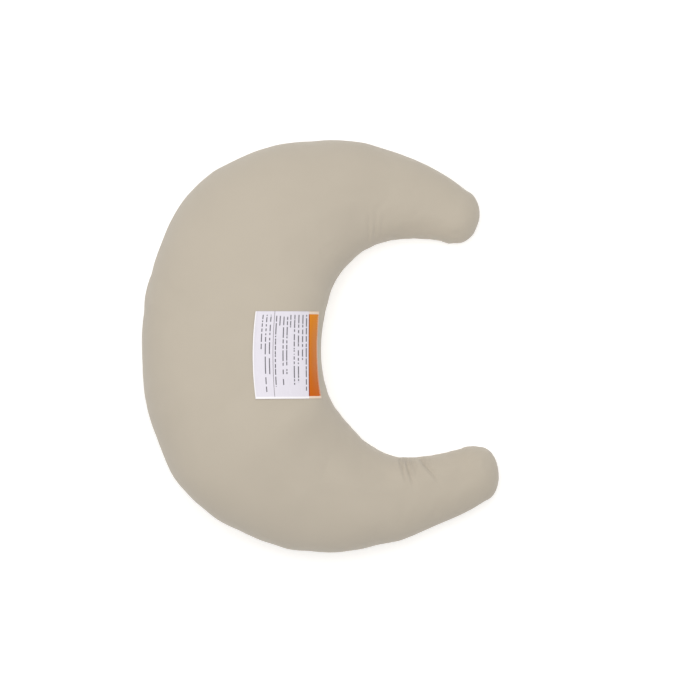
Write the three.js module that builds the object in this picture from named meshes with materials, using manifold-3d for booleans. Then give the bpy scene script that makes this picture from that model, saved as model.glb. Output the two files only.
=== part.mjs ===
// Nursing pillow: a C-shaped body pillow. A zipped slipcover of two fabric panels goes over a sewn inner
// casing filled with fibre, and a care label is sewn to the top beside the waist opening.
// Millimetres, +Z up. The origin is at the middle of the bounding box's base. The opening faces +X.
import * as THREE from 'three';
import { LoftGeometry } from 'three/addons/geometries/LoftGeometry.js';
import { mergeGeometries, mergeVertices } from 'three/addons/utils/BufferGeometryUtils.js';
import ManifoldModule from 'manifold-3d';

// ---- Overall size ----
const LENGTH = 504; // Y, from shoulder to shoulder
const WIDTH = 437; // X, from the back to the longer arm's tip
const HEIGHT = 145; // Z, at the back, the thickest place
const BACK_RADIUS = 338; // outer edge of the back, seen from above
const BACK_ANGLE = 24.5; // degrees of that arc on each side of the middle
const BACK_HALF = 109.5; // from the centre line of the tube to its outer edge, at the back
const SHOULDER_HALF = 67; // the same at the top of the shoulder
const TIP_REACH = 29.5; // how far each rounded tip runs past the end of the centre line

// ---- Each arm: how its centre line curves in, and how it thins along its length ----
const STATIONS = [0, 0.26, 0.45, 0.6, 0.8, 1]; // share of the centre line's length
const ARMS = {
  upper: {
    mirror: 1,
    radius: 240, // centre line of the forearm
    shorter: 26, // this tip stops short of the other
    outer: [BACK_HALF, BACK_HALF, 95, 74.3, 53.2, 36.5],
    inner: [110.5, 108, 97, 82.5, 53.5, 31.5],
  },
  lower: {
    mirror: -1,
    radius: 320,
    shorter: 1.2,
    outer: [BACK_HALF, BACK_HALF, 86.5, 70.3, 49.4, 36.5],
    inner: [110.5, 104.5, 96.5, 83, 43.5, 32],
  },
};
const THICKNESS = [HEIGHT, HEIGHT, 127, 109, 80, 66];

// ---- Cross-section of the tube: a superellipse on each side of the centre line ----
const WIDEST = 0.455; // height of the widest line as a share of the thickness
const SAG = 1.15; // how much deeper the lower half would be if the floor didn't flatten it
const ROUND = 2.4; // exponent of the section: 2 is an ellipse, more is squarer
const INNER_SQUARE = 3; // the same beside the waist opening, where the filling packs up
const SEAM_DROP = 0.4; // the seam runs this share of the lower half below the widest line

// ---- Cloth and filling ----
const CLOTH = 1; // cover panel
const CASING = 0.8; // casing panel
const GAP = 0.3;
const SEAM_HALF = 0.35; // from the seam line to each panel
const ALLOWANCE = 6; // seam allowance of the cover
const OVERLOCK = 0.6; // thread wrapped round the allowance
const CASING_SIDE = 10; // the casing stops this far inside the cover's widest line
const CASING_ALLOWANCE = 4;

// ---- Zip in the outer back seam ----
const ZIP_ANGLE = 21.8; // the coils end at this heading on each side of the middle
const ZIP_GAP = 4; // from the seam line to each panel along the zip
const PANELS_MEET = 0.7; // degrees past the coils where the panels start to come together
const SEWN_SHUT = 2.7; // degrees past the coils where they meet
const SEAM_CLOSES = 5.2; // degrees past the coils where the allowances are full size again
const TAPE_PAST = 2.3; // degrees that the tapes run on past the coils
const STITCHES_PAST = 2.1; // degrees that the stitching runs on past them
const TAPE_WIDTH = 12.2;
const TAPE = 0.6;
const STITCH_INSET = 2; // from a panel's edge to its topstitching
const STITCH = 0.6; // width of the topstitching
const COIL_WIDTH = 2.3;
const COIL_GAP = 0.8; // from the seam line to each coil
const SLIDER_LENGTH = 9;
const SLIDER_WIDTH = 8.8;
const SLIDER_PLAY = 0.85; // from the tapes to the slider's back plate
const TAB_LENGTH = 24;
const TAB_WIDTH = 6.4;

// ---- Care label on the top ----
const BAND_WIDTH = 13.7;
const FLAP_WIDTH = 63.8;
const LABEL_LENGTH = 105;
const LABEL_MIDDLE = -10.1; // Y of its middle
const LABEL_MARGIN = 0.5; // from the band to the inner edge of the back
const LABEL_CLOTH = 0.5;

const rad = THREE.MathUtils.degToRad;
const BACK_R = BACK_RADIUS - BACK_HALF; // centre line of the back
const BACK_TURN = rad(BACK_ANGLE);
const BACK_CENTRE = new THREE.Vector2(BACK_RADIUS - WIDTH / 2, 0);
const APEX_Y = LENGTH / 2 - SHOULDER_HALF;
const SHOULDER_R = (APEX_Y - BACK_R * Math.sin(BACK_TURN)) / (1 - Math.sin(BACK_TURN));

// The centre line of one arm: three arcs that run into each other. The heading is 0 in the middle of the
// back and grows towards the tip, and it is the direction of travel, turned from +Y.
function centreLine(arm) {
  const step = BACK_R - SHOULDER_R;
  const shoulder = new THREE.Vector2(
    BACK_CENTRE.x - step * Math.cos(BACK_TURN),
    step * Math.sin(BACK_TURN),
  );
  const forearm = new THREE.Vector2(shoulder.x, shoulder.y + SHOULDER_R - arm.radius);
  const tipX = WIDTH / 2 - TIP_REACH - arm.shorter;
  const end = Math.PI / 2 + Math.asin((tipX - forearm.x) / arm.radius);
  const arcs = [
    { centre: BACK_CENTRE, radius: BACK_R, from: 0, to: BACK_TURN },
    { centre: shoulder, radius: SHOULDER_R, from: BACK_TURN, to: Math.PI / 2 },
    { centre: forearm, radius: arm.radius, from: Math.PI / 2, to: end },
  ];
  const length = arcs.reduce((sum, arc) => sum + arc.radius * (arc.to - arc.from), 0);
  return { arcs, end, length };
}
const LINES = { upper: centreLine(ARMS.upper), lower: centreLine(ARMS.lower) };

// Which arc holds a heading.
function arcAt(line, heading) {
  return line.arcs.find((arc) => heading <= arc.to) ?? line.arcs[2];
}

// Distance along the centre line from the middle of the back.
function distanceAt(line, heading) {
  let distance = 0;
  for (const arc of line.arcs) {
    distance += arc.radius * Math.max(0, Math.min(heading, arc.to) - arc.from);
  }
  return distance;
}

// Heading at a distance along the centre line.
function headingAt(line, distance) {
  let left = distance;
  for (const arc of line.arcs) {
    const span = arc.radius * (arc.to - arc.from);
    if (left <= span) return arc.from + left / arc.radius;
    left -= span;
  }
  return line.end;
}

// A smooth curve through the values at the stations that never overshoots them. It may level off at the tip.
function taper(values, share, level = false) {
  const last = STATIONS.length - 1;
  const chord = (i) => (values[i + 1] - values[i]) / (STATIONS[i + 1] - STATIONS[i]);
  const slope = (i) => {
    if (i === 0) return 0;
    if (i === last) return level ? 0 : chord(last - 1);
    const [before, after] = [chord(i - 1), chord(i)];
    return before * after <= 0 ? 0 : (2 * before * after) / (before + after);
  };
  const t = THREE.MathUtils.clamp(share, 0, 1);
  const i = Math.min(last - 1, STATIONS.findLastIndex((station) => station <= t));
  const span = STATIONS[i + 1] - STATIONS[i];
  const u = (t - STATIONS[i]) / span;
  return (
    (1 + 2 * u) * (1 - u) ** 2 * values[i] +
    u * (1 - u) ** 2 * span * slope(i) +
    u * u * (3 - 2 * u) * values[i + 1] +
    u * u * (u - 1) * span * slope(i + 1)
  );
}

// One column of the pillow: a half section that stands on the centre line and runs out to one edge.
// turn is 90 for the outer edge, -90 for the inner one, and between them for the rounded tips.
function column(name, heading, turn) {
  const arm = ARMS[name];
  const line = LINES[name];
  const arc = arcAt(line, heading);
  const share = distanceAt(line, heading) / line.length;
  const side = turn >= 0 ? arm.outer : arm.inner;
  const edge = taper(side, share);
  const along = Math.cos(rad(turn));
  const across = Math.sin(rad(turn));
  const half = Math.abs(turn) === 90 ? edge : 1 / Math.hypot(along / TIP_REACH, across / edge);
  const square = turn < 0 ? THREE.MathUtils.smoothstep(share, 0.3, 0.6) : 1;
  return {
    spine: new THREE.Vector2(
      arc.centre.x - arc.radius * Math.cos(heading),
      arm.mirror * (arc.centre.y + arc.radius * Math.sin(heading)),
    ),
    out: new THREE.Vector2(
      along * Math.sin(heading) - across * Math.cos(heading),
      arm.mirror * (along * Math.cos(heading) + across * Math.sin(heading)),
    ),
    half,
    thickness: taper(THICKNESS, share, true),
    power: THREE.MathUtils.lerp(INNER_SQUARE, ROUND, square),
  };
}

// Height of the widest line, and the heights of the section above and below it.
function section(col) {
  const widest = WIDEST * col.thickness;
  return { widest, above: col.thickness - widest, below: SAG * widest };
}

// Angle round the section at which its height is the given share of the upper or the lower half.
const angleAt = (col, share) => Math.asin(share ** (col.power / 2));

// A point of a column from its distance out along the column and its height.
function place(col, reach, z) {
  return new THREE.Vector3(col.spine.x + col.out.x * reach, col.spine.y + col.out.y * reach, z);
}

// A layer's surface at an angle round the section, -90 degrees under the centre line to 90 on top of it.
// inset holds how far the layer lies inside the cover's outer face at the side, the top and the floor.
function onLayer(col, angle, inset) {
  const { widest, above, below } = section(col);
  const reach = (col.half - inset.side) * Math.abs(Math.cos(angle)) ** (2 / col.power);
  const rise = Math.abs(Math.sin(angle)) ** (2 / col.power);
  const z = angle >= 0 ? widest + (above - inset.top) * rise : widest - (below - inset.top) * rise;
  return { reach: Math.abs(angle) === Math.PI / 2 ? 0 : reach, z: Math.max(z, inset.floor) };
}

// Angles of the rows from the seam up to the top, and from the seam down to the floor.
const UPPER_ROWS = [0.13, 0.26, 0.4, 0.56, 0.76, 1];
const LOWER_ROWS = [0.25, 0.5, 0.75, 1];
const seamAngle = (col) => -angleAt(col, SEAM_DROP);
function upperAngles(col) {
  const start = seamAngle(col);
  return UPPER_ROWS.map((row) => (row === 1 ? Math.PI / 2 : start + row * (Math.PI / 2 - start)));
}
function lowerAngles(col) {
  const start = seamAngle(col);
  const floor = -angleAt(col, 1 / SAG) - 0.01;
  return [...LOWER_ROWS.map((row) => start + row * (floor - start)), -Math.PI / 2];
}

// The seam of a layer in one column: its line, the way in through the cloth, and the way along the cloth
// towards each panel.
function seam(col, inset) {
  const flat = (angle) => {
    const { reach, z } = onLayer(col, angle, inset);
    return new THREE.Vector2(reach, z);
  };
  const line = flat(seamAngle(col));
  const up = flat(upperAngles(col)[0]).sub(line).normalize();
  const down = flat(lowerAngles(col)[0]).sub(line).normalize();
  const across = up.clone().sub(down).normalize();
  return {
    line,
    up,
    down,
    across,
    inward: new THREE.Vector2(-across.y, across.x),
    upInward: new THREE.Vector2(-up.y, up.x),
    downInward: new THREE.Vector2(down.y, -down.x),
  };
}

// A point beside the seam: along the panel on side +1 (top) or -1 (bottom), and in through the cloth.
function beside(col, join, side, along, depth) {
  const way = side > 0 ? join.up : join.down;
  const inward = side > 0 ? join.upInward : join.downInward;
  const flat = join.line.clone().addScaledVector(way, along).addScaledVector(inward, depth);
  return place(col, flat.x, flat.y);
}

// A point on the plane between the two allowances: across it, and in along it.
function within(col, join, across, depth) {
  const flat = join.line
    .clone()
    .addScaledVector(join.across, across)
    .addScaledVector(join.inward, depth);
  return place(col, flat.x, flat.y);
}

// Welds pieces of surface into one body and leaves out the triangles that have no area.
function weld(pieces) {
  const bare = pieces.map((piece) => {
    const flat = piece.index ? piece.toNonIndexed() : piece;
    return new THREE.BufferGeometry().setAttribute('position', flat.getAttribute('position'));
  });
  const body = mergeVertices(mergeGeometries(bare), 1e-3);
  const index = body.index.array;
  const kept = [];
  for (let i = 0; i < index.length; i += 3) {
    const [a, b, c] = index.slice(i, i + 3);
    if (a !== b && b !== c && c !== a) kept.push(a, b, c);
  }
  body.setIndex(kept);
  body.computeVertexNormals();
  return body;
}

// The same surface with its other face out.
function turned(geometry) {
  geometry.index.array.reverse();
  return geometry;
}

// Headings of the columns along an arm: even steps on the back, then even lengths to the tip.
const BACK_STEPS = 7;
const BACK_HEADINGS = [
  ...Array.from({ length: BACK_STEPS + 1 }, (_, i) => ((ZIP_ANGLE - 0.8) * i) / BACK_STEPS),
  ZIP_ANGLE + PANELS_MEET,
  ZIP_ANGLE + SEWN_SHUT,
].map(rad);
const ARM_STEPS = 12;
function headings(name) {
  const line = LINES[name];
  const start = distanceAt(line, rad(ZIP_ANGLE + SEWN_SHUT));
  const rest = [];
  for (let i = 1; i <= ARM_STEPS; i++) {
    rest.push(headingAt(line, start + ((line.length - start) * i) / ARM_STEPS));
  }
  rest[0] = Math.max(rest[0], rad(ZIP_ANGLE + SEAM_CLOSES));
  return [...BACK_HEADINGS, ...rest];
}

// All columns, anticlockwise seen from above, from the middle of the back.
const TIP_TURNS = [66, 42, 18, -18, -42, -66];
function allColumns() {
  const run = (name, turn) => headings(name).map((heading) => ({ name, heading, turn }));
  const tip = (name) => TIP_TURNS.map((turn) => ({ name, heading: LINES[name].end, turn }));
  return [
    ...run('lower', 90),
    ...tip('lower'),
    ...run('lower', -90).reverse().slice(0, -1),
    ...run('upper', -90),
    ...tip('upper').reverse(),
    ...run('upper', 90).reverse().slice(0, -1),
  ].map((item) => ({ ...column(item.name, item.heading, item.turn), ...item }));
}
const COLUMNS = allColumns();

// How far the seam is open at a column: 1 along the zip, 0 where it is sewn shut.
function openness(col) {
  if (col.turn !== 90) return { gap: 0, allowance: 1 };
  const open = col.heading <= rad(ZIP_ANGLE + PANELS_MEET) + 1e-9 ? 1 : 0;
  return { gap: open, allowance: col.heading <= rad(ZIP_ANGLE + SEWN_SHUT) + 1e-9 ? 0 : 1 };
}

// Rings of one layer through all columns, from a function that gives the point in each.
const ring = (point) => COLUMNS.map(point);
const layerRings = (angles, inset) =>
  angles(COLUMNS[0]).map((_, row) =>
    ring((col) => {
      const { reach, z } = onLayer(col, angles(col)[row], inset);
      return place(col, reach, z);
    }),
  );

// A panel that covers the pillow from the seam to the top (side +1) or to the floor (side -1). Its edge
// turns in along the seam to make the allowance.
function panel(side, inset, cloth, spec) {
  const inner = { side: inset.side + cloth, top: inset.top + cloth, floor: inset.floor + cloth };
  const angles = side > 0 ? upperAngles : lowerAngles;
  const edge = (col) => {
    const { gap, allowance } = spec(col);
    const join = seam(col, inset);
    const at = beside(col, join, side, gap, 0);
    const fold = beside(col, join, side, gap, cloth);
    const into = within(col, join, 0, allowance).sub(within(col, join, 0, 0));
    const end = fold.clone().add(into);
    const width = within(col, join, side * cloth, 0).sub(within(col, join, 0, 0));
    return [end.clone().add(width), end, fold, at, beside(col, join, side, gap + cloth, cloth)];
  };
  const edges = COLUMNS.map(edge);
  const [farEnd, end, fold, at, corner] = [0, 1, 2, 3, 4].map((i) => edges.map((item) => item[i]));
  const outside = new LoftGeometry([farEnd, end, fold, at, ...layerRings(angles, inset)]);
  const inside = new LoftGeometry([farEnd, corner, ...layerRings(angles, inner)]);
  return side > 0 ? weld([outside, turned(inside)]) : weld([turned(outside), inside]);
}

const COVER = { side: 0, top: 0, floor: 0 };
const CASING_OUT = { side: CASING_SIDE, top: CLOTH + 0.5, floor: CLOTH + GAP };
const casingInset = (extra) => ({
  side: CASING_OUT.side + extra,
  top: CASING_OUT.top + extra,
  floor: CASING_OUT.floor + extra,
});
const FILL = casingInset(CASING + 0.5);

const coverSeam = (col) => {
  const { gap, allowance } = openness(col);
  return {
    gap: gap ? ZIP_GAP : SEAM_HALF,
    allowance: allowance ? ALLOWANCE : 0.05,
  };
};
const casingSeam = () => ({ gap: SEAM_HALF, allowance: CASING_ALLOWANCE });

// Thread wrapped round both allowances: a channel whose open side faces the cloth.
function overlockSection(col, inset, cloth, allowance) {
  const join = seam(col, inset);
  const half = SEAM_HALF + cloth + GAP;
  const end = cloth + allowance + GAP;
  const start = end - 3;
  const outline = [
    [half, start],
    [half, end],
    [-half, end],
    [-half, start],
    [-half - OVERLOCK, start],
    [-half - OVERLOCK, end + OVERLOCK],
    [half + OVERLOCK, end + OVERLOCK],
    [half + OVERLOCK, start],
  ];
  return outline.map(([across, depth]) => within(col, join, across, depth));
}

// The filling: the casing's inside, with a groove where the casing's allowance presses in.
function filling() {
  const halfGroove = SEAM_HALF + CASING + OVERLOCK + 4 * GAP;
  const depth = CASING + CASING_ALLOWANCE + GAP + OVERLOCK;
  const outline = (col) => {
    const join = seam(col, FILL);
    const near = (side) => beside(col, join, side, halfGroove, 0);
    const deep = (side) => within(col, join, side * halfGroove, depth);
    return [near(-1), deep(-1), deep(1), near(1)];
  };
  const groove = COLUMNS.map(outline);
  const rings = [0, 1, 2, 3].map((i) => groove.map((item) => item[i]));
  return weld([
    turned(new LoftGeometry([rings[0], ...layerRings(lowerAngles, FILL)])),
    new LoftGeometry([...rings, ...layerRings(upperAngles, FILL)]),
  ]);
}

// ---- Parts along the back seam ----
// The outer column at an angle from the middle of the back, positive towards +Y.
function backColumn(angle) {
  const name = angle >= 0 ? 'upper' : 'lower';
  return column(name, Math.abs(rad(angle)), 90);
}

// Angles from one end to the other that also stop at every column of the panels between them.
function backAngles(from, to) {
  const steps = BACK_HEADINGS.map((heading) => THREE.MathUtils.radToDeg(heading));
  const both = [...steps.map((step) => -step), ...steps.slice(1)];
  const between = both.filter((angle) => angle > from + 0.05 && angle < to - 0.05);
  return [from, ...between.sort((a, b) => a - b), to];
}

// A strip that lies along one side of the seam, from one angle to another.
function backStrip(from, to, side, near, far, top, under) {
  const sections = backAngles(from, to).map((angle) => {
    const col = backColumn(angle);
    const join = seam(col, COVER);
    return [
      beside(col, join, side, near, top),
      beside(col, join, side, far, top),
      beside(col, join, side, far, under),
      beside(col, join, side, near, under),
    ];
  });
  if (side < 0) sections.forEach((points) => points.reverse());
  return weld([new LoftGeometry(sections, { capStart: true, capEnd: true })]);
}

const COIL_TOP = -0.9;
const TAPE_TOP = CLOTH + GAP;
const TAPE_UNDER = TAPE_TOP + TAPE;
const STOP_EDGE = 0.2; // how far a stop reaches past the coil it is clipped to
// A strip along one side that runs on past the coils at both ends.
const bothEnds = (past, ...rest) => backStrip(-ZIP_ANGLE - past, ZIP_ANGLE + past, ...rest);
const tape = (side) =>
  bothEnds(TAPE_PAST, side, COIL_GAP, COIL_GAP + TAPE_WIDTH, TAPE_TOP, TAPE_UNDER);
const coil = (side) => bothEnds(0, side, COIL_GAP, COIL_GAP + COIL_WIDTH, COIL_TOP, CLOTH);
function topStop(side) {
  const near = COIL_GAP - STOP_EDGE;
  const far = COIL_GAP + COIL_WIDTH + STOP_EDGE;
  return backStrip(ZIP_ANGLE + 0.06, ZIP_ANGLE + 0.4, side, near, far, COIL_TOP - 0.15, CLOTH - 0.05);
}
function zipStitching(side) {
  const near = ZIP_GAP + STITCH_INSET;
  return bothEnds(STITCHES_PAST, side, near, near + STITCH, -GAP - STITCH / 2, -GAP);
}

// A frame that stands on the seam at an angle: X across the zip (up), Y along it, Z out of the pillow.
function seamFrame(angle) {
  const col = backColumn(angle);
  const join = seam(col, COVER);
  const origin = within(col, join, 0, 0);
  const across = within(col, join, 1, 0).sub(origin);
  const out = within(col, join, 0, -1).sub(origin);
  const along = new THREE.Vector3().crossVectors(out, across);
  return new THREE.Matrix4().makeBasis(across, along, out).setPosition(origin);
}

// A flat plate from an outline, between two heights.
function plate(shape, low, high, curveSegments = 8) {
  const options = { depth: high - low, bevelEnabled: false, curveSegments };
  return new THREE.ExtrudeGeometry(shape, options).translate(0, 0, low);
}

// A rounded rectangle whose middle is at x, y.
function roundedRectangle(x, y, width, height, radius) {
  const shape = new THREE.Shape();
  const [w, h] = [width / 2 - radius, height / 2 - radius];
  shape.absarc(x + w, y + h, radius, 0, Math.PI / 2);
  shape.absarc(x - w, y + h, radius, Math.PI / 2, Math.PI);
  shape.absarc(x - w, y - h, radius, Math.PI, Math.PI * 1.5);
  shape.absarc(x + w, y - h, radius, Math.PI * 1.5, Math.PI * 2);
  return shape;
}

const wasm = await ManifoldModule();
wasm.setup();
const { Manifold, Mesh } = wasm;

// three.js geometry to a manifold solid, and back.
function solid(geometry) {
  const body = weld([geometry]);
  return new Manifold(
    new Mesh({
      numProp: 3,
      vertProperties: body.attributes.position.array,
      triVerts: new Uint32Array(body.index.array),
    }),
  );
}
function geometryOf(manifold) {
  const mesh = manifold.getMesh();
  const geometry = new THREE.BufferGeometry();
  geometry.setAttribute('position', new THREE.BufferAttribute(mesh.vertProperties, mesh.numProp));
  geometry.setIndex(new THREE.BufferAttribute(mesh.triVerts, 1));
  geometry.computeVertexNormals();
  return geometry;
}

// Zip slider: a face plate and a back plate joined by a web that runs between the coils, and an arch
// for the pull tab. X is across the zip, Y along it and Z out of the pillow.
const FACE = 1.35; // underside of the face plate
const PLATE = 1.1;
const BACK_PLATE = 0.9;
const WEB = 0.6;
const ARCH_SPACE = 2.2;
const PIVOT = FACE + PLATE + ARCH_SPACE / 2;
function slider() {
  const half = SLIDER_LENGTH / 2;
  const face = new THREE.Shape();
  face.moveTo(-SLIDER_WIDTH / 2 + 1, -half);
  face.lineTo(SLIDER_WIDTH / 2 - 1, -half);
  face.quadraticCurveTo(SLIDER_WIDTH / 2 - 0.2, -half, SLIDER_WIDTH / 2 - 0.1, -half + 1);
  face.lineTo(SLIDER_WIDTH / 2, half - 3);
  face.quadraticCurveTo(SLIDER_WIDTH / 2 - 0.4, half, 0, half);
  face.quadraticCurveTo(-SLIDER_WIDTH / 2 + 0.4, half, -SLIDER_WIDTH / 2, half - 3);
  face.lineTo(-SLIDER_WIDTH / 2 + 0.1, -half + 1);
  face.quadraticCurveTo(-SLIDER_WIDTH / 2 + 0.2, -half, -SLIDER_WIDTH / 2 + 1, -half);
  const back = roundedRectangle(0, 0, SLIDER_WIDTH - 2.2, SLIDER_LENGTH - 0.4, 1.2);
  const backTop = -TAPE_UNDER - SLIDER_PLAY;
  const webTop = FACE + PLATE / 2;
  const webFoot = backTop - BACK_PLATE / 2;
  const web = new THREE.BoxGeometry(WEB, 4, webTop - webFoot).translate(0, 1, (webTop + webFoot) / 2);
  const arch = new THREE.Shape();
  const top = FACE + PLATE + ARCH_SPACE;
  arch.moveTo(3, FACE + 0.4);
  arch.lineTo(3, top + 0.3);
  arch.quadraticCurveTo(3, top + 1, 2.2, top + 1);
  arch.lineTo(-2.2, top + 1);
  arch.quadraticCurveTo(-3, top + 1, -3, top + 0.3);
  arch.lineTo(-3, FACE + 0.4);
  const hole = new THREE.Path();
  hole.moveTo(-2, FACE + 0.7);
  hole.lineTo(-2, top);
  hole.lineTo(2, top);
  hole.lineTo(2, FACE + 0.7);
  arch.holes.push(hole);
  const bail = plate(arch, -0.6, 0.6);
  bail.applyMatrix4(new THREE.Matrix4().makeBasis(
    new THREE.Vector3(0, 1, 0),
    new THREE.Vector3(0, 0, 1),
    new THREE.Vector3(1, 0, 0),
  ));
  const pieces = [
    plate(face, FACE, FACE + PLATE),
    plate(back, backTop - BACK_PLATE, backTop),
    web,
    bail,
  ].map(solid);
  return geometryOf(Manifold.union(pieces));
}

// Pull tab: a flat tongue. Its crossbar passes under the slider's arch, and it lies back along the zip.
function pullTab() {
  const middle = (TAB_LENGTH - 1) / 2;
  const shape = new THREE.Shape();
  const narrow = 2.4;
  shape.moveTo(narrow, 0.5);
  shape.lineTo(-narrow, 0.5);
  shape.lineTo(-narrow, -4.6);
  shape.quadraticCurveTo(-TAB_WIDTH / 2, -7, -TAB_WIDTH / 2, -middle);
  shape.lineTo(-TAB_WIDTH / 2, -TAB_LENGTH + 3);
  shape.quadraticCurveTo(-TAB_WIDTH / 2, -TAB_LENGTH, 0, -TAB_LENGTH);
  shape.quadraticCurveTo(TAB_WIDTH / 2, -TAB_LENGTH, TAB_WIDTH / 2, -TAB_LENGTH + 3);
  shape.lineTo(TAB_WIDTH / 2, -middle);
  shape.quadraticCurveTo(TAB_WIDTH / 2, -7, narrow, -4.6);
  shape.holes.push(roundedRectangle(0, -2.3, 2.2, 3.6, 0.4));
  shape.holes.push(roundedRectangle(0, -TAB_LENGTH + 6, 2.4, 6, 1.1));
  return plate(shape, PIVOT - 0.5, PIVOT + 0.5);
}
const SLIDER_ANGLE = ZIP_ANGLE - 0.85; // closed, against the top stops
const onSeam = (geometry, angle) => geometry.applyMatrix4(seamFrame(angle));

// Bottom stop: one clip across both coils at the open end.
function bottomStop() {
  const width = 2 * (COIL_GAP + COIL_WIDTH) + STOP_EDGE;
  return onSeam(new THREE.BoxGeometry(width, 1.6, 1.8).translate(0, 0, 0.05), -ZIP_ANGLE - 0.25);
}

// ---- Label ----
const INNER_EDGE = BACK_HALF + ARMS.upper.inner[0] - WIDTH / 2;
const LABEL = {
  left: INNER_EDGE - LABEL_MARGIN - BAND_WIDTH - FLAP_WIDTH,
  fold: INNER_EDGE - LABEL_MARGIN - BAND_WIDTH,
  right: INNER_EDGE - LABEL_MARGIN,
  bottom: LABEL_MIDDLE - LABEL_LENGTH / 2,
  top: LABEL_MIDDLE + LABEL_LENGTH / 2,
};

// Height of the cover at a point of the top, on the back or the shoulders. Near the edge the cloth falls
// away, and the label's stiff border levels off over it.
const LEVELS_FROM = 0.9;
const LEVELS_BY = 0.08;
function coverHeight(x, y) {
  const name = y >= 0 ? 'upper' : 'lower';
  const line = LINES[name];
  const point = new THREE.Vector2(x, Math.abs(y));
  let arc = line.arcs[0];
  let from = point.clone().sub(arc.centre);
  let heading = Math.atan2(from.y, -from.x);
  if (heading > arc.to) {
    arc = line.arcs[1];
    from = point.clone().sub(arc.centre);
    heading = Math.atan2(from.y, -from.x);
  }
  const reach = from.length() - arc.radius;
  const col = column(name, heading, reach >= 0 ? 90 : -90);
  const { widest, above } = section(col);
  const past = Math.max(0, Math.abs(reach) / col.half - LEVELS_FROM);
  const share = Math.abs(reach) / col.half - past + LEVELS_BY * Math.tanh(past / LEVELS_BY);
  return widest + above * (1 - share ** col.power) ** (1 / col.power);
}

// Height of the label: it lies on the cover but stays straight along its fold, where it spans the dip
// beside the waist opening.
const LABEL_LIFT = 0.5;
function labelHeight(x, y) {
  const { left, fold, right, bottom, top } = LABEL;
  const share = (y - bottom) / (top - bottom);
  const ends = [coverHeight(x, bottom), coverHeight(x, top)];
  const straight = ends[0] + (ends[1] - ends[0]) * share;
  const hold =
    x <= fold
      ? THREE.MathUtils.smoothstep(x, (left + fold) / 2, fold)
      : 1 - THREE.MathUtils.smoothstep(x, fold, right);
  const lying = coverHeight(x, y);
  return lying + Math.max(0, straight - lying) * hold + LABEL_LIFT;
}

// A point over the label, at a distance out from its underside.
function onLabel(x, y, out) {
  const d = 0.5;
  const slopeX = (labelHeight(x + d, y) - labelHeight(x - d, y)) / (2 * d);
  const slopeY = (labelHeight(x, y + d) - labelHeight(x, y - d)) / (2 * d);
  const normal = new THREE.Vector3(-slopeX, -slopeY, 1).normalize();
  return new THREE.Vector3(x, y, labelHeight(x, y)).addScaledVector(normal, out);
}

// One piece of the label between two edges.
const LABEL_STEPS = 24; // along its length
function labelPiece(from, to, steps) {
  const { bottom, top } = LABEL;
  const box = new THREE.BoxGeometry(1, 1, 1, steps, LABEL_STEPS, 1);
  const position = box.attributes.position;
  const point = new THREE.Vector3();
  for (let i = 0; i < position.count; i++) {
    point.fromBufferAttribute(position, i).addScalar(0.5);
    const x = from + (to - from) * point.x;
    const y = bottom + (top - bottom) * point.y;
    position.setXYZ(i, ...onLabel(x, y, point.z * LABEL_CLOTH));
  }
  return weld([box]);
}

// Thread that holds the header: along its two short sides and its long outer side.
function labelStitching() {
  const { fold, right, bottom, top } = LABEL;
  const inset = 1.8;
  const path = new THREE.CurvePath();
  const corners = [
    [fold + 1, top - inset],
    [right - inset, top - inset],
    [right - inset, bottom + inset],
    [fold + 1, bottom + inset],
  ].map(([x, y]) => new THREE.Vector2(x, y));
  corners.slice(1).forEach((corner, i) => path.add(new THREE.LineCurve(corners[i], corner)));
  const sections = [];
  const addSection = (at, across) => {
    const edge = across.clone().multiplyScalar(0.3);
    const low = LABEL_CLOTH + GAP;
    sections.push([
      onLabel(at.x - edge.x, at.y - edge.y, low),
      onLabel(at.x + edge.x, at.y + edge.y, low),
      onLabel(at.x + edge.x, at.y + edge.y, low + 0.3),
      onLabel(at.x - edge.x, at.y - edge.y, low + 0.3),
    ]);
  };
  path.curves.forEach((curve, i) => {
    const way = curve.getTangent(0);
    const across = new THREE.Vector2(-way.y, way.x);
    const steps = Math.max(3, Math.round(curve.getLength() / 4.4));
    for (let j = i === 0 ? 0 : 1; j <= steps; j++) {
      const corner = j === steps && i < path.curves.length - 1;
      const turn = corner ? path.curves[i + 1].getTangent(0) : null;
      const mitre = corner ? across.clone().add(new THREE.Vector2(-turn.y, turn.x)) : across;
      addSection(curve.getPoint(j / steps), mitre);
    }
  });
  return weld([new LoftGeometry(sections, { capStart: true, capEnd: true })]);
}

// ---- The object ----
const pillow = new THREE.Group();
pillow.name = 'nursing_pillow';
function add(name, geometry, colour, roughness = 0.9, metalness = 0) {
  const material = new THREE.MeshStandardMaterial({ color: colour, roughness, metalness });
  const mesh = new THREE.Mesh(geometry, material);
  mesh.name = name;
  pillow.add(mesh);
}

// An overlocked edge that follows the seam all round, or from one end of the zip to the other.
function overlock(inset, cloth, allowance, closed) {
  const shut = COLUMNS.filter((col) => closed || openness(col).allowance);
  const sections = shut.map((col) => overlockSection(col, inset, cloth, allowance));
  const geometry = closed
    ? new LoftGeometry([...sections, sections[0]])
    : new LoftGeometry(sections, { capStart: true, capEnd: true });
  return weld([geometry]);
}

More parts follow.
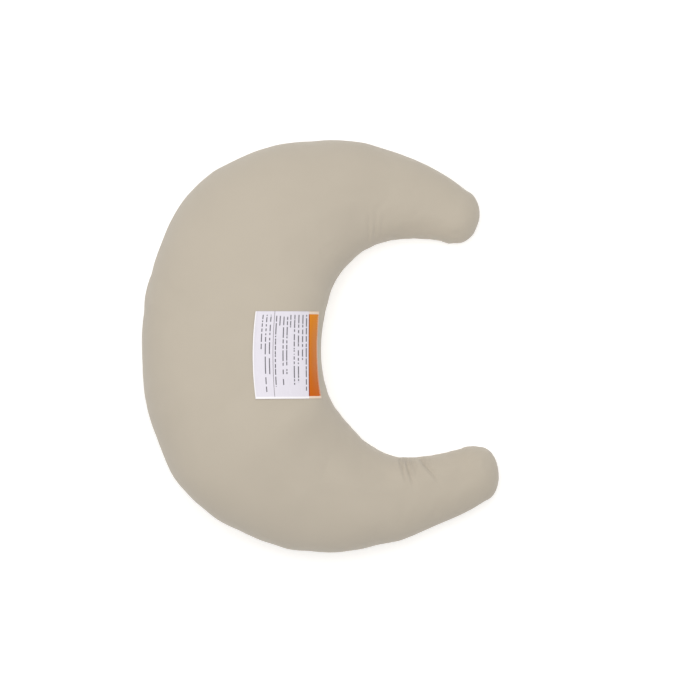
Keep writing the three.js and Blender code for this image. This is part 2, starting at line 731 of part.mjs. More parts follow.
const FABRIC = 0xbfb29f;
const TAPE_COLOUR = 0xb3a58f;
const THREAD = 0xc9bfae;
add('cover_top_panel', panel(1, COVER, CLOTH, coverSeam), FABRIC);
add('cover_bottom_panel', panel(-1, COVER, CLOTH, coverSeam), FABRIC);
add('cover_seam_overlock', overlock(COVER, CLOTH, ALLOWANCE, false), THREAD);
add('zip_tape_upper', tape(1), TAPE_COLOUR);
add('zip_tape_lower', tape(-1), TAPE_COLOUR);
add('zip_coil_upper', coil(1), 0xa89b86, 0.45);
add('zip_coil_lower', coil(-1), 0xa89b86, 0.45);
add('zip_stitching_upper', zipStitching(1), THREAD);
add('zip_stitching_lower', zipStitching(-1), THREAD);
add('zip_top_stop_upper', topStop(1), 0xa9a9a6, 0.35, 0.9);
add('zip_top_stop_lower', topStop(-1), 0xa9a9a6, 0.35, 0.9);
add('zip_bottom_stop', bottomStop(), 0xa9a9a6, 0.35, 0.9);
add('zip_slider', onSeam(slider(), SLIDER_ANGLE), 0xa89b86, 0.4, 0.6);
add('zip_pull_tab', onSeam(pullTab(), SLIDER_ANGLE), 0xa89b86, 0.4, 0.6);
add('label_header', labelPiece(LABEL.fold + 0.4, LABEL.right, 8), 0xd0801c, 0.6);
add('label_flap', labelPiece(LABEL.left, LABEL.fold - 0.4, 10), 0xdfdbe4, 0.6);
add('label_stitching', labelStitching(), 0xf0ece4);
add('inner_casing_top', panel(1, CASING_OUT, CASING, casingSeam), 0xf2f0ec);
add('inner_casing_bottom', panel(-1, CASING_OUT, CASING, casingSeam), 0xf2f0ec);
add('casing_seam_overlock', overlock(CASING_OUT, CASING, CASING_ALLOWANCE, true), 0xf7f5f0);
add('fibre_fill', filling(), 0xf8f7f3, 1);

export default pillow;
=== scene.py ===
import bmesh
import bpy
import numpy as np
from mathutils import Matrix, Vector


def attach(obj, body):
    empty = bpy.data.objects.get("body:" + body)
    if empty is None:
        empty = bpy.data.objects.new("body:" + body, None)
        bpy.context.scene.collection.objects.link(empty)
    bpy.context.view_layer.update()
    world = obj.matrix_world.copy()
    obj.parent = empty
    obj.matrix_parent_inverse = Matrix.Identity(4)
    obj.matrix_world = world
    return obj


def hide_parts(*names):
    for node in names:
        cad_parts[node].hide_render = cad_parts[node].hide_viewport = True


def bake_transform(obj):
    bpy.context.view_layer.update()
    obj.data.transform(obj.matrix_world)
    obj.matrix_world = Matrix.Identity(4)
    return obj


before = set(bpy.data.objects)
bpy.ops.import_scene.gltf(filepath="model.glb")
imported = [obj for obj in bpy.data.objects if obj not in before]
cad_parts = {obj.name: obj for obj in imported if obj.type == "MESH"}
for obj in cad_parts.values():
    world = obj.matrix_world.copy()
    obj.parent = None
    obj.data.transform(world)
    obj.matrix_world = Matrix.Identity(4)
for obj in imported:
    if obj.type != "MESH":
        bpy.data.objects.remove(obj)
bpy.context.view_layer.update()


# ---- Fibre filling ----
# Loose polyester fibre, blown into the sewn casing until it is firm. It gives the pillow its C shape:
# thick at the back, thinner towards the rounded tips, and flat where it settles on the table.
WIDTH = 0.437
LENGTH = 0.504
HEIGHT = 0.145
BACK_RADIUS = 0.338
BACK_TURN = np.radians(24.5)
BACK_HALF = 0.1095
SHOULDER_HALF = 0.067
TIP_REACH = 0.0295
STATIONS = np.array([0, 0.26, 0.45, 0.6, 0.8, 1])
ARMS = {
    "upper": {
        "mirror": 1, "radius": 0.240, "shorter": 0.026,
        "outer": [BACK_HALF, BACK_HALF, 0.095, 0.0743, 0.0532, 0.0365],
        "inner": [0.1105, 0.108, 0.097, 0.0825, 0.0535, 0.0315],
    },
    "lower": {
        "mirror": -1, "radius": 0.320, "shorter": 0.0012,
        "outer": [BACK_HALF, BACK_HALF, 0.0865, 0.0703, 0.0494, 0.0365],
        "inner": [0.1105, 0.1045, 0.0965, 0.083, 0.0435, 0.032],
    },
}
THICKNESS = [HEIGHT, HEIGHT, 0.127, 0.109, 0.080, 0.066]
WIDEST = 0.455
SAG = 1.15
ROUND = 2.4
INNER_SQUARE = 3.0
SEAM_DROP = 0.4
FLAT_ROWS = 8

BACK_R = BACK_RADIUS - BACK_HALF
BACK_CENTRE = np.array([BACK_RADIUS - WIDTH / 2, 0])
SHOULDER_R = (LENGTH / 2 - SHOULDER_HALF - BACK_R * np.sin(BACK_TURN)) / (1 - np.sin(BACK_TURN))


def arcs_of(arm):
    """The three arcs of an arm's centre line: centre, radius, first and last heading."""
    step = BACK_R - SHOULDER_R
    shoulder = np.array([BACK_CENTRE[0] - step * np.cos(BACK_TURN), step * np.sin(BACK_TURN)])
    forearm = np.array([shoulder[0], shoulder[1] + SHOULDER_R - arm["radius"]])
    tip = WIDTH / 2 - TIP_REACH - arm["shorter"]
    end = np.pi / 2 + np.arcsin((tip - forearm[0]) / arm["radius"])
    return [
        (BACK_CENTRE, BACK_R, 0, BACK_TURN),
        (shoulder, SHOULDER_R, BACK_TURN, np.pi / 2),
        (forearm, arm["radius"], np.pi / 2, end),
    ]


def taper(values, share, level=False):
    """A smooth curve through the values at the stations: cubic pieces whose slope at a station is the
    harmonic mean of the slopes on its two sides, so the curve never overshoots. It may level off at the
    tip."""
    values = np.asarray(values, float)
    chord = np.diff(values) / np.diff(STATIONS)
    before, after = chord[:-1], chord[1:]
    same = before * after > 0
    inner = np.where(same, 2 * before * after / np.where(same, before + after, 1), 0)
    slope = np.concatenate([[0], inner, chord[-1:] * (not level)])
    share = np.clip(share, 0, 1)
    i = np.clip(np.searchsorted(STATIONS, share, side="right") - 1, 0, len(chord) - 1)
    span = np.diff(STATIONS)[i]
    u = (share - STATIONS[i]) / span
    return (
        (1 + 2 * u) * (1 - u) ** 2 * values[i] + u * (1 - u) ** 2 * span * slope[i]
        + u * u * (3 - 2 * u) * values[i + 1] + u * u * (u - 1) * span * slope[i + 1]
    )


def smooth(low, high, x):
    """0 below low, 1 above high, and an S curve 3t^2 - 2t^3 between them."""
    t = np.clip((x - low) / (high - low), 0, 1)
    return t * t * (3 - 2 * t)


def columns_at(name, heading, turn):
    """Half sections of one arm, as arrays. Each stands on the centre line at a heading and runs out to
    one edge: turn is 90 for the outer edge, -90 for the inner one, and between them round the tip,
    where the reach is 1 / hypot(cos turn / tip reach, sin turn / edge)."""
    arm = ARMS[name]
    heading, turn = np.broadcast_arrays(np.asarray(heading, float), np.radians(turn))
    x, y = np.zeros(heading.shape), np.zeros(heading.shape)
    distance, length = np.zeros(heading.shape), 0
    for centre, radius, first, last in arcs_of(arm):
        here = (heading >= first - 1e-9) if first else np.full(heading.shape, True)
        x = np.where(here, centre[0] - radius * np.cos(heading), x)
        y = np.where(here, centre[1] + radius * np.sin(heading), y)
        distance += radius * np.clip(heading - first, 0, last - first)
        length += radius * (last - first)
    share = distance / length
    edge = np.where(turn >= 0, taper(arm["outer"], share), taper(arm["inner"], share))
    along, across = np.cos(turn), np.sin(turn)
    straight = np.abs(across) > 1 - 1e-9
    half = np.where(straight, edge, 1 / np.hypot(along / TIP_REACH, across / edge))
    square = np.where(turn < 0, 1 - smooth(0.3, 0.6, share), 0)
    return {
        "x": x, "y": arm["mirror"] * y, "half": half, "share": share, "turn": turn,
        "out_x": along * np.sin(heading) - across * np.cos(heading),
        "out_y": arm["mirror"] * (along * np.cos(heading) + across * np.sin(heading)),
        "thickness": taper(THICKNESS, share, True), "power": ROUND + (INNER_SQUARE - ROUND) * square,
        "heading": heading, "mirror": np.full(heading.shape, float(arm["mirror"])),
    }


def all_columns(steps, tip_steps):
    """Columns all round the pillow, anticlockwise from the middle of the back: out along the lower
    arm, round its tip, back along its inner edge, and the same the other way round on the upper arm."""
    parts = []
    for name, way in (("lower", 1), ("upper", -1)):
        arcs = arcs_of(ARMS[name])
        reach = np.cumsum([0] + [radius * (last - first) for _, radius, first, last in arcs])
        at = np.linspace(0, reach[-1], steps)
        heading = np.interp(at, reach, [arcs[0][2]] + [arc[3] for arc in arcs])
        turns = np.linspace(90, -90, tip_steps + 2)[1:-1]
        outer = columns_at(name, heading, 90)
        tip = columns_at(name, np.full(tip_steps, heading[-1]), turns)
        inner = columns_at(name, heading[::-1], -90)
        both = {key: np.concatenate([outer[key], tip[key], inner[key]]) for key in outer}
        parts.append({key: value[::way][:-1] for key, value in both.items()})
    return {key: np.concatenate([part[key] for part in parts]) for key in parts[0]}


def even_angles(start, end, count):
    """Angles from start to end that are about evenly spaced along a section, as shares of the way."""
    share = np.linspace(0, 1, 400)
    angle = start + (end - start) * share
    reach = np.abs(np.cos(angle)) ** (2 / ROUND)
    rise = np.sign(angle) * np.abs(np.sin(angle)) ** (2 / ROUND)
    length = np.concatenate([[0], np.cumsum(np.hypot(np.diff(reach), np.diff(rise)))])
    return np.interp(np.linspace(0, length[-1], count), length, share)


def seam_angle(cols):
    """Angle of the seam round the section: it runs 40% of the way down the lower half."""
    return -np.arcsin(SEAM_DROP ** (cols["power"] / 2))


def floor_angle(cols):
    """Angle at which the section meets the floor, and a little past it."""
    return -np.arcsin((1 / SAG) ** (cols["power"] / 2)) - 0.01


def on_section(cols, angle, inset):
    """Reach from the centre line and height at an angle round the section. Each half is a superellipse:
    reach = half |cos a|^(2/n) and height = widest + half height |sin a|^(2/n), cut off flat at the
    floor. inset is (side, top, floor), how far the layer lies inside the cover's outer face."""
    side, top, floor = inset
    widest = WIDEST * cols["thickness"]
    above, below = cols["thickness"] - widest, SAG * widest
    power = 2 / cols["power"]
    reach = (cols["half"] - side) * np.maximum(np.cos(angle), 0) ** power
    rise = np.abs(np.sin(angle)) ** power
    height = np.where(angle >= 0, widest + (above - top) * rise, widest - (below - top) * rise)
    return reach, np.maximum(height, floor)


def place(cols, reach, height):
    """Points of the columns from their reach and height."""
    return np.stack([cols["x"] + cols["out_x"] * reach, cols["y"] + cols["out_y"] * reach, height], -1)


def widened(cols):
    """The columns with one more axis, so that they meet a row of angles."""
    return {key: value[:, None] for key, value in cols.items()}


def layer(cols, side, rows, inset):
    """A grid of points, columns by rows, from the seam to the top (side 1) or to the floor (-1). The
    last lower row closes the flat underside on the centre line."""
    wide = widened(cols)
    start = seam_angle(wide)
    if side > 0:
        share = even_angles(-0.6, np.pi / 2, rows)
        reach, height = on_section(wide, start + share * (np.pi / 2 - start), inset)
    else:
        share = np.linspace(0, 1, rows - FLAT_ROWS)
        reach, height = on_section(wide, start + share * (floor_angle(wide) - start), inset)
        flat = np.linspace(1, 0, FLAT_ROWS + 1)[1:]
        reach = np.concatenate([reach, reach[:, -1:] * flat], 1)
        height = np.concatenate([height, height[:, -1:] * np.ones(FLAT_ROWS)], 1)
    return place(wide, reach, height)


# Where the filling has shifted: start, end, width and depth of each soft trough, or of a ridge if the
# depth is below zero. BULGES are the same for the sides alone, where the outline isn't quite even. Long
# low waves lie over all of it, and both fade out by the floor and the seam.
HOLLOWS = [
    ((-0.036, 0.086), (-0.004, 0.055), 0.016, 0.0024),
    ((-0.045, -0.072), (-0.016, -0.066), 0.014, 0.0020),
    ((-0.090, -0.092), (-0.026, -0.174), 0.027, -0.0046),
    ((0.030, -0.122), (0.078, -0.152), 0.016, 0.0018),
    ((0.173, -0.157), (0.174, -0.158), 0.015, 0.0022),
    ((-0.150, -0.020), (-0.140, 0.080), 0.045, 0.0016),
]
BULGES = [
    ((-0.034, -0.251), (-0.038, -0.242), 0.015, -0.0010),
    ((-0.136, 0.206), (-0.156, 0.186), 0.024, -0.0021),
    ((-0.215, 0.045), (-0.209, 0.080), 0.022, 0.0020),
    ((-0.163, -0.180), (-0.148, -0.200), 0.018, 0.0026),
    ((0.060, 0.249), (0.160, 0.200), 0.020, -0.0020),
    ((0.188, 0.182), (0.194, 0.160), 0.014, -0.0022),
    ((0.180, 0.128), (0.187, 0.134), 0.013, -0.0028),
    ((0.207, -0.124), (0.213, -0.130), 0.012, -0.0042),
    ((0.100, -0.237), (0.205, -0.192), 0.016, -0.0024),
    ((0.216, -0.150), (0.214, -0.180), 0.012, -0.0016),
]
WAVES = 9
WAVE_LENGTHS = (0.07, 0.16)
WAVE_DEPTH = 0.00028
FLOOR_FADE = (0.012, 0.04)
SEAM_FADE = (0.001, 0.013)


def near_segment(x, y, start, end):
    """Distance to a segment in plan, and how far along it the nearest point lies, from 0 to 1."""
    dx, dy = end[0] - start[0], end[1] - start[1]
    t = np.clip(((x - start[0]) * dx + (y - start[1]) * dy) / (dx * dx + dy * dy), 0, 1)
    return np.hypot(x - start[0] - t * dx, y - start[1] - t * dy), t


def hollows(points, normal, seam_row):
    """How far the surface is pushed in at each point: a sum of bell shapes, depth exp(-(d / width)^2),
    and of long low waves of the filling. They fade out towards the flat underside and the seam, and the
    bulges also where the surface turns level."""
    x, y, z = points[..., 0], points[..., 1], points[..., 2]
    depth = np.zeros(x.shape)
    upright = 1 - smooth(0, 0.9, np.abs(normal[..., 2]))
    for places, share in ((HOLLOWS, 1), (BULGES, upright)):
        for start, end, width, deep in places:
            depth += share * deep * np.exp(-((near_segment(x, y, start, end)[0] / width) ** 2))
    draws = np.random.default_rng(11)
    for _ in range(WAVES):
        way = draws.uniform(0, 2 * np.pi)
        wave = 2 * np.pi / draws.uniform(*WAVE_LENGTHS)
        phase = draws.uniform(0, 2 * np.pi)
        depth += WAVE_DEPTH * np.sin(wave * (x * np.cos(way) + y * np.sin(way)) + phase)
    away = np.linalg.norm(points - points[:, seam_row, None], axis=-1)
    away[:, :seam_row] = 0
    return depth * smooth(*FLOOR_FADE, z) * smooth(*SEAM_FADE, away)


def normals_of(points, side):
    """Outward unit normals of a grid that is closed along its columns."""
    along = np.roll(points, -1, 0) - np.roll(points, 1, 0)
    up = np.gradient(points, axis=1)
    normal = side * np.cross(along, up)
    length = np.linalg.norm(normal, axis=-1, keepdims=True)
    upright = np.zeros(points.shape)
    upright[..., 2] = side
    thin = (length < 1e-12) | (np.arange(points.shape[1]) == points.shape[1] - 1)[None, :, None]
    return np.where(thin, upright, normal / np.maximum(length, 1e-12))


def grid_mesh(name, points, closed=True, flip=False, uv=None):
    """A smooth mesh over a grid of points, closed along its columns or open. Points that fall together,
    as on the centre line, are merged. uv gives each point its place on the flat cloth, in metres."""
    columns, rows = points.shape[:2]
    index = np.arange(columns * rows).reshape(columns, rows)
    after = np.roll(index, -1, 0) if closed else index[1:]
    here = index if closed else index[:-1]
    quads = np.stack([here[:, :-1], after[:, :-1], after[:, 1:], here[:, 1:]], -1).reshape(-1, 4)
    quads = quads[:, ::-1] if flip else quads
    mesh = bpy.data.meshes.new(name)
    mesh.from_pydata(points.reshape(-1, 3).tolist(), [], quads.tolist())
    if uv is not None:
        layer_uv = mesh.uv_layers.new(name="cloth")
        layer_uv.data.foreach_set("uv", uv.reshape(-1, 2)[quads.ravel()].astype(np.float32).ravel())
    body = bmesh.new()
    body.from_mesh(mesh)
    bmesh.ops.remove_doubles(body, verts=body.verts, dist=2e-6)
    body.to_mesh(mesh)
    body.free()
    mesh.polygons.foreach_set("use_smooth", np.ones(len(mesh.polygons), bool))
    mesh.update()
    made = bpy.data.objects.new(name, mesh)
    bpy.context.scene.collection.objects.link(made)
    return made


def finish(piece, body, slot, material, *nodes):
    """Gives a piece its material and the body it rides on, and hides the CAD nodes it stands for. slot is not
    used.
    """
    piece.data.materials.clear()
    piece.data.materials.append(material)
    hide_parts(*nodes)
    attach(piece, body)


def add_node(tree, kind, sockets=None, **settings):
    """One node. sockets holds, for each input, the value to set or the socket that feeds it."""
    made = tree.nodes.new(kind)
    for name, value in settings.items():
        setattr(made, name, value)
    for key, value in (sockets or {}).items():
        if isinstance(value, bpy.types.NodeSocket):
            tree.links.new(value, made.inputs[key])
        else:
            made.inputs[key].default_value = value
    return made


def maths(tree, operation, a, b=0.0, c=0.0):
    """The output of one Math node."""
    return add_node(tree, "ShaderNodeMath", {0: a, 1: b, 2: c}, operation=operation).outputs[0]


def noise(tree, place_socket, scale, detail=2.0, roughness=0.5):
    """A noise value from 0 to 1 with grains of about 1 / scale metres."""
    sockets = {"Vector": place_socket, "Scale": scale, "Detail": detail, "Roughness": roughness}
    return add_node(tree, "ShaderNodeTexNoise", sockets).outputs["Fac"]


def between(tree, factor, first, second):
    """A colour between two colours."""
    made = add_node(tree, "ShaderNodeMix", data_type="RGBA")
    made.inputs["Factor"].default_value = 0.5
    for key, value in ((0, factor), (6, first), (7, second)):
        if isinstance(value, bpy.types.NodeSocket):
            tree.links.new(value, made.inputs[key])
        else:
            made.inputs[key].default_value = value
    return made.outputs[2]


def bump(tree, height, distance, strength=1.0, under=None):
    """A normal from a height, with the height's full swing given in metres."""
    sockets = {"Height": height, "Distance": distance, "Strength": strength}
    if under is not None:
        sockets["Normal"] = under
    return add_node(tree, "ShaderNodeBump", sockets).outputs["Normal"]


def new_material(name, roughness=0.9, **values):
    """A material with one Principled shader. Gives the material, its tree and the shader."""
    material = bpy.data.materials.new(name)
    material.use_nodes = True
    tree = material.node_tree
    shader = tree.nodes["Principled BSDF"]
    shader.inputs["Roughness"].default_value = roughness
    for key, value in values.items():
        shader.inputs[key.replace("_", " ")].default_value = value
    return material, tree, shader


def fibre_material():
    """White crimped fibre: tangled strands as stretched noise at two scales."""
    material, tree, shader = new_material("polyester fibre", 0.95, Sheen_Weight=0.3)
    place_socket = add_node(tree, "ShaderNodeTexCoord").outputs["Object"]
    tangle = noise(tree, place_socket, 900, 6, 0.7)
    clumps = noise(tree, place_socket, 60, 3)
    colour = between(tree, clumps, (0.80, 0.79, 0.76, 1), (0.90, 0.90, 0.88, 1))
    tree.links.new(colour, shader.inputs["Base Color"])
    tree.links.new(bump(tree, tangle, 0.0015), shader.inputs["Normal"])
    return material


def pressed(points, side, seam_row=0):
    """The grid with the hollows of the filling pressed in."""
    normal = normals_of(points, side)
    return points - normal * hollows(points, normal, seam_row)[..., None]


def closed_body(name, cols, inset, upper_rows, lower_rows):
    """A closed body of one layer: from the middle of the underside out to the seam and up to the top."""
    under = pressed(layer(cols, -1, lower_rows, inset), -1)[:, ::-1]
    over = pressed(layer(cols, 1, upper_rows, inset), 1)
    return grid_mesh(name, np.concatenate([under[:, :-1], over], 1))


LAYER_COLUMNS = all_columns(90, 16)
FILL_INSET = (0.0113, 0.0038, 0.0026)
filling = closed_body("filling", LAYER_COLUMNS, FILL_INSET, 22, 20)
finish(filling, "pillow", "fibre", fibre_material(), "fibre_fill")


# ---- Sewn casing ----
# A bag of plain white woven cloth that holds the filling. It is two panels, sewn right sides together
# and turned, so the allowances and their overlock thread lie inside along the seam.
CASING = 0.0008
CASING_INSET = (0.010, 0.0026, 0.0013)
CASING_ALLOWANCE = 0.004
CASING_ROLL = 0.001
SEAM_HALF = 0.00035
EDGE_STEPS = 5
HEM_ROWS = EDGE_STEPS + 1


def unit(vectors):
    """The vectors at a length of 1."""
    return vectors / np.linalg.norm(vectors, axis=-1, keepdims=True)


def seam_of(cols, inset):
    """The seam line of a layer in each column, as (reach, height) pairs, with the way up and down along
    the cloth, the way across the seam and the way in through it."""
    start = seam_angle(cols)
    line = np.stack(on_section(cols, start, inset), -1)
    up = unit(np.stack(on_section(cols, start + 0.13 * (np.pi / 2 - start), inset), -1) - line)
    down = unit(np.stack(on_section(cols, start + 0.25 * (floor_angle(cols) - start), inset), -1) - line)
    across = unit(up - down)
    inward = np.stack([-across[:, 1], across[:, 0]], -1)
    return {"line": line, "up": up, "down": down, "across": across, "inward": inward}


def beside(cols, seam, side, along, depth):
    """Points beside the seam: along the panel on that side, and in through its cloth."""
    way = seam["up"] if side > 0 else seam["down"]
    inward = side * np.stack([-way[:, 1], way[:, 0]], -1)
    flat = seam["line"] + way * np.reshape(along, (-1, 1)) + inward * np.reshape(depth, (-1, 1))
    return place(cols, flat[:, 0], flat[:, 1])


def within(cols, seam, across, depth):
    """Points on the plane between the allowances: across it, and in along it."""
    flat = seam["line"] + seam["across"] * across + seam["inward"] * np.reshape(depth, (-1, 1))
    return place(cols, flat[:, 0], flat[:, 1])


def sewn_panel(cols, side, rows, inset, gap, allowance, roll):
    """A panel's outer face: the allowance, a quarter round of radius roll over the seam's edge, and the
    layer up to the top or down to the floor. gap and allowance are given for each column."""
    seam = seam_of(cols, inset)
    deep = within(cols, seam, 0, roll + allowance) - within(cols, seam, 0, roll)
    turn = np.linspace(0, np.pi / 2, EDGE_STEPS)
    edge = [beside(cols, seam, side, gap + roll * (1 - np.cos(t)), roll * (1 - np.sin(t))) for t in turn]
    hem = [edge[0] + deep, edge[0] + deep * 0.5]
    face = layer(cols, side, rows, inset)[:, 1:]
    far = np.linalg.norm(face - beside(cols, seam, side, 0, 0)[:, None], axis=-1)
    near = far < (gap + roll)[:, None] + 0.0006
    pushed = edge[-1][:, None] + (face - edge[-1][:, None]) * 0.02
    face = np.where(near[..., None] & (np.arange(face.shape[1]) < 4)[None, :, None], pushed, face)
    return np.concatenate([np.stack(hem + edge, 1), face], 1)


def cloth_places(points):
    """Where each point lies on the flat cloth: the plan place of the centre line, moved out by the length
    along the section. The grain so runs straight across the pillow."""
    steps = np.linalg.norm(np.diff(points, axis=1), axis=-1)
    length = np.cumsum(steps[:, ::-1], 1)[:, ::-1]
    length = np.concatenate([length, np.zeros((len(points), 1))], 1)
    centre = points[:, -1:, :2]
    way = points[:, HEM_ROWS + 3, None, :2] - centre
    way = way / np.maximum(np.linalg.norm(way, axis=-1, keepdims=True), 1e-9)
    return centre + way * length[..., None]


def cloth_group(name, count):
    """A node group for a cloth. Place is in metres on the cloth, and count names the number of threads or
    loops in a metre. Gives the group, its output node and the place counted in threads."""
    group = bpy.data.node_groups.new(name, "ShaderNodeTree")
    for socket, way, kind in (
        ("Place", "INPUT", "NodeSocketVector"), (count, "INPUT", "NodeSocketFloat"),
        ("Height", "OUTPUT", "NodeSocketFloat"), ("Shade", "OUTPUT", "NodeSocketFloat"),
    ):
        group.interface.new_socket(socket, in_out=way, socket_type=kind)
    source = add_node(group, "NodeGroupInput")
    result = add_node(group, "NodeGroupOutput")
    scaled = add_node(group, "ShaderNodeVectorMath", operation="SCALE")
    group.links.new(source.outputs["Place"], scaled.inputs[0])
    group.links.new(source.outputs[count], scaled.inputs["Scale"])
    return group, result, scaled.outputs[0]


def woven_threads():
    """A node group for plain woven cloth. Height goes over and under like crossing threads, and Shade
    varies from thread to thread."""
    group, result, counted = cloth_group("Woven threads", "Threads")
    split = add_node(group, "ShaderNodeSeparateXYZ", {0: counted})
    wave = []
    for axis in ("X", "Y"):
        wave.append(maths(group, "SINE", maths(group, "MULTIPLY", split.outputs[axis], 2 * np.pi)))
    product = maths(group, "MULTIPLY", wave[0], wave[1])
    rounded = maths(group, "MULTIPLY_ADD", product, 0.5, 0.5)
    stretch = add_node(group, "ShaderNodeMapping", {"Vector": counted, "Scale": (1.0, 0.04, 1.0)})
    slub = add_node(group, "ShaderNodeTexNoise", {"Vector": stretch.outputs[0], "Scale": 0.8})
    group.links.new(rounded, result.inputs["Height"])
    group.links.new(slub.outputs["Fac"], result.inputs["Shade"])
    return group


def effect(tree, group, **values):
    """A shared node group placed in a material, with its own values."""
    made = add_node(tree, "ShaderNodeGroup", node_tree=group)
    for key, value in values.items():
        if isinstance(value, bpy.types.NodeSocket):
            tree.links.new(value, made.inputs[key])
        else:
            made.inputs[key].default_value = value
    return made


WOVEN = woven_threads()


def casing_material():
    """Plain white polycotton, a little uneven from thread to thread."""
    material, tree, shader = new_material("casing cloth", 0.85, Sheen_Weight=0.1)
    flat = add_node(tree, "ShaderNodeUVMap", uv_map="cloth").outputs["UV"]
    weave = effect(tree, WOVEN, Place=flat, Threads=1400.0)
    colour = between(tree, weave.outputs["Shade"], (0.76, 0.75, 0.72, 1), (0.88, 0.87, 0.84, 1))
    tree.links.new(colour, shader.inputs["Base Color"])
    tree.links.new(bump(tree, weave.outputs["Height"], 0.0002), shader.inputs["Normal"])
    return material


def thread_material():
    """Spun polyester thread: two plies that wind round each other, as a slanted wave along it."""
    material, tree, shader = new_material("sewing thread", 0.7, Sheen_Weight=0.25)
    place_socket = add_node(tree, "ShaderNodeTexCoord").outputs["Object"]
    sockets = {"Vector": place_socket, "Scale": 1500.0, "Distortion": 1.0}
    ply = add_node(tree, "ShaderNodeTexWave", sockets, bands_direction="DIAGONAL").outputs["Fac"]
    tint = noise(tree, place_socket, 700)
    colour = between(tree, tint, (0.50, 0.445, 0.365, 1), (0.64, 0.58, 0.49, 1))
    tree.links.new(colour, shader.inputs["Base Color"])
    tree.links.new(bump(tree, ply, 0.00008), shader.inputs["Normal"])
    return material


THREAD = thread_material()


def thicken(piece, depth):
    """Gives a panel the thickness of its cloth, inwards from its outer face."""
    wall = piece.modifiers.new("cloth", "SOLIDIFY")
    wall.thickness = depth
    wall.offset = -1
    wall.use_even_offset = False


casing_cloth = casing_material()
even = np.ones(len(LAYER_COLUMNS["x"]))
for name, side, rows, node, flat, area in (
    ("casing_top", 1, 22, "inner_casing_top", (0.57, 0.67), 0.225),
    ("casing_bottom", -1, 20, "inner_casing_bottom", (0.46, 0.53), 0.141),
):
    shape = sewn_panel(LAYER_COLUMNS, side, rows, CASING_INSET, SEAM_HALF * even,
                       CASING_ALLOWANCE * even, CASING_ROLL)
    shape = pressed(shape, side, HEM_ROWS)
    casing = grid_mesh(name, shape, flip=side < 0, uv=cloth_places(shape))
    thicken(casing, CASING)
    finish(casing, "pillow", "casing_fabric", casing_cloth, node)


# ---- Slipcover ----
# Two panels of thick, soft, closely knitted jersey, sewn right sides together and turned. The filling
# keeps them taut, and they pucker where the seam draws them in. The seam is open along the back for a zip.
CLOTH = 0.001
ALLOWANCE = 0.006
ZIP_GAP = 0.004
ZIP_ENDS = np.radians([22.3, 24.4])
COVER_COLUMNS = all_columns(190, 44)
COVER_INSET = (0, 0, 0)
COVER_ROLL = 0.0012
STITCH_LINE = 0.0063
GROOVE_HALF = 0.0009
GROOVE_DEPTH = 0.00045
SWELL_INSET = (0.002, 0.002, 0.001)
SWELL_VOXEL = 0.0055
SWELL_FRAMES = 20
SWELL_PRESSURE = 4
EXTRA_CLOTH = 0.03
HELD_WITHIN = 0.006
FOLD_SEARCH = 0.03
FOLD_LIMITS = (-0.0009, 0.0010)


def zip_share(cols):
    """1 where the seam is open along the zip, 0 where it is sewn shut."""
    outer = cols["turn"] > np.pi / 2 - 1e-6
    return np.where(outer, 1 - smooth(*ZIP_ENDS, cols["heading"]), 0)


def off_centre(points):
    """0 on the centre line, where the two halves of a panel meet, and 1 from 15 mm beside it."""
    return smooth(0, 0.015, np.linalg.norm(points - points[:, -1:], axis=-1))


PUCKERS = 14
PUCKER_LENGTHS = (0.009, 0.026)


def puckers(cols, points):
    """Small folds that the seam gathers: waves along the seam of 9 to 26 mm, which fade with the distance
    from it. They are stronger and run further beside the waist opening, where the cloth is crowded."""
    line = points[:, HEM_ROWS]
    along = np.cumsum(np.linalg.norm(line - np.roll(line, 1, 0), axis=-1))
    draws = np.random.default_rng(5)
    wave = np.zeros(along.shape)
    for _ in range(PUCKERS):
        wave += np.sin(2 * np.pi * along / draws.uniform(*PUCKER_LENGTHS) + draws.uniform(0, 2 * np.pi))
    inner = smooth(0.3, 0.55, cols["share"]) * (cols["turn"] < 0)
    size = 0.00006 + 0.00004 * inner
    spread = 0.010 + 0.016 * inner
    away = np.linalg.norm(points - line[:, None], axis=-1)
    fade = np.exp(-away / spread[:, None]) * smooth(0, 0.004, away) * off_centre(points)
    return (wave * size)[:, None] * fade


# The creases beside the waist opening: start, end, width and depth of each.
CREASES = [
    ((0.0984, -0.1385), (0.1075, -0.1720), 0.0030, 0.0034),
    ((0.1046, -0.1385), (0.1175, -0.1770), 0.0032, 0.0042),
    ((0.1108, -0.1385), (0.1200, -0.1640), 0.0028, 0.0028),
    ((0.1250, -0.1400), (0.1520, -0.1720), 0.0032, 0.0036),
    ((0.1335, -0.1410), (0.1450, -0.1580), 0.0030, 0.0016),
    ((0.0595, 0.1300), (0.0600, 0.1740), 0.0036, 0.0010),
    ((0.0675, 0.1320), (0.0690, 0.1750), 0.0038, 0.0012),
    ((0.0745, 0.1330), (0.0775, 0.1720), 0.0036, 0.0009),
    ((0.0049, 0.1130), (0.0293, 0.1275), 0.0040, 0.0006),
]


def creases(points):
    """Single folds beside the waist opening: a valley between two low shoulders, (1 - q) exp(-q) with
    q = (d / width)^2, that fades out along its length."""
    x, y, z = points[..., 0], points[..., 1], points[..., 2]
    depth = np.zeros(x.shape)
    for start, end, width, deep in CREASES:
        away, t = near_segment(x, y, start, end)
        q = (away / width) ** 2
        depth += deep * (1 - q) * np.exp(-q) * (1 - smooth(0.25, 1, t))
    return depth * smooth(0.035, 0.05, z)


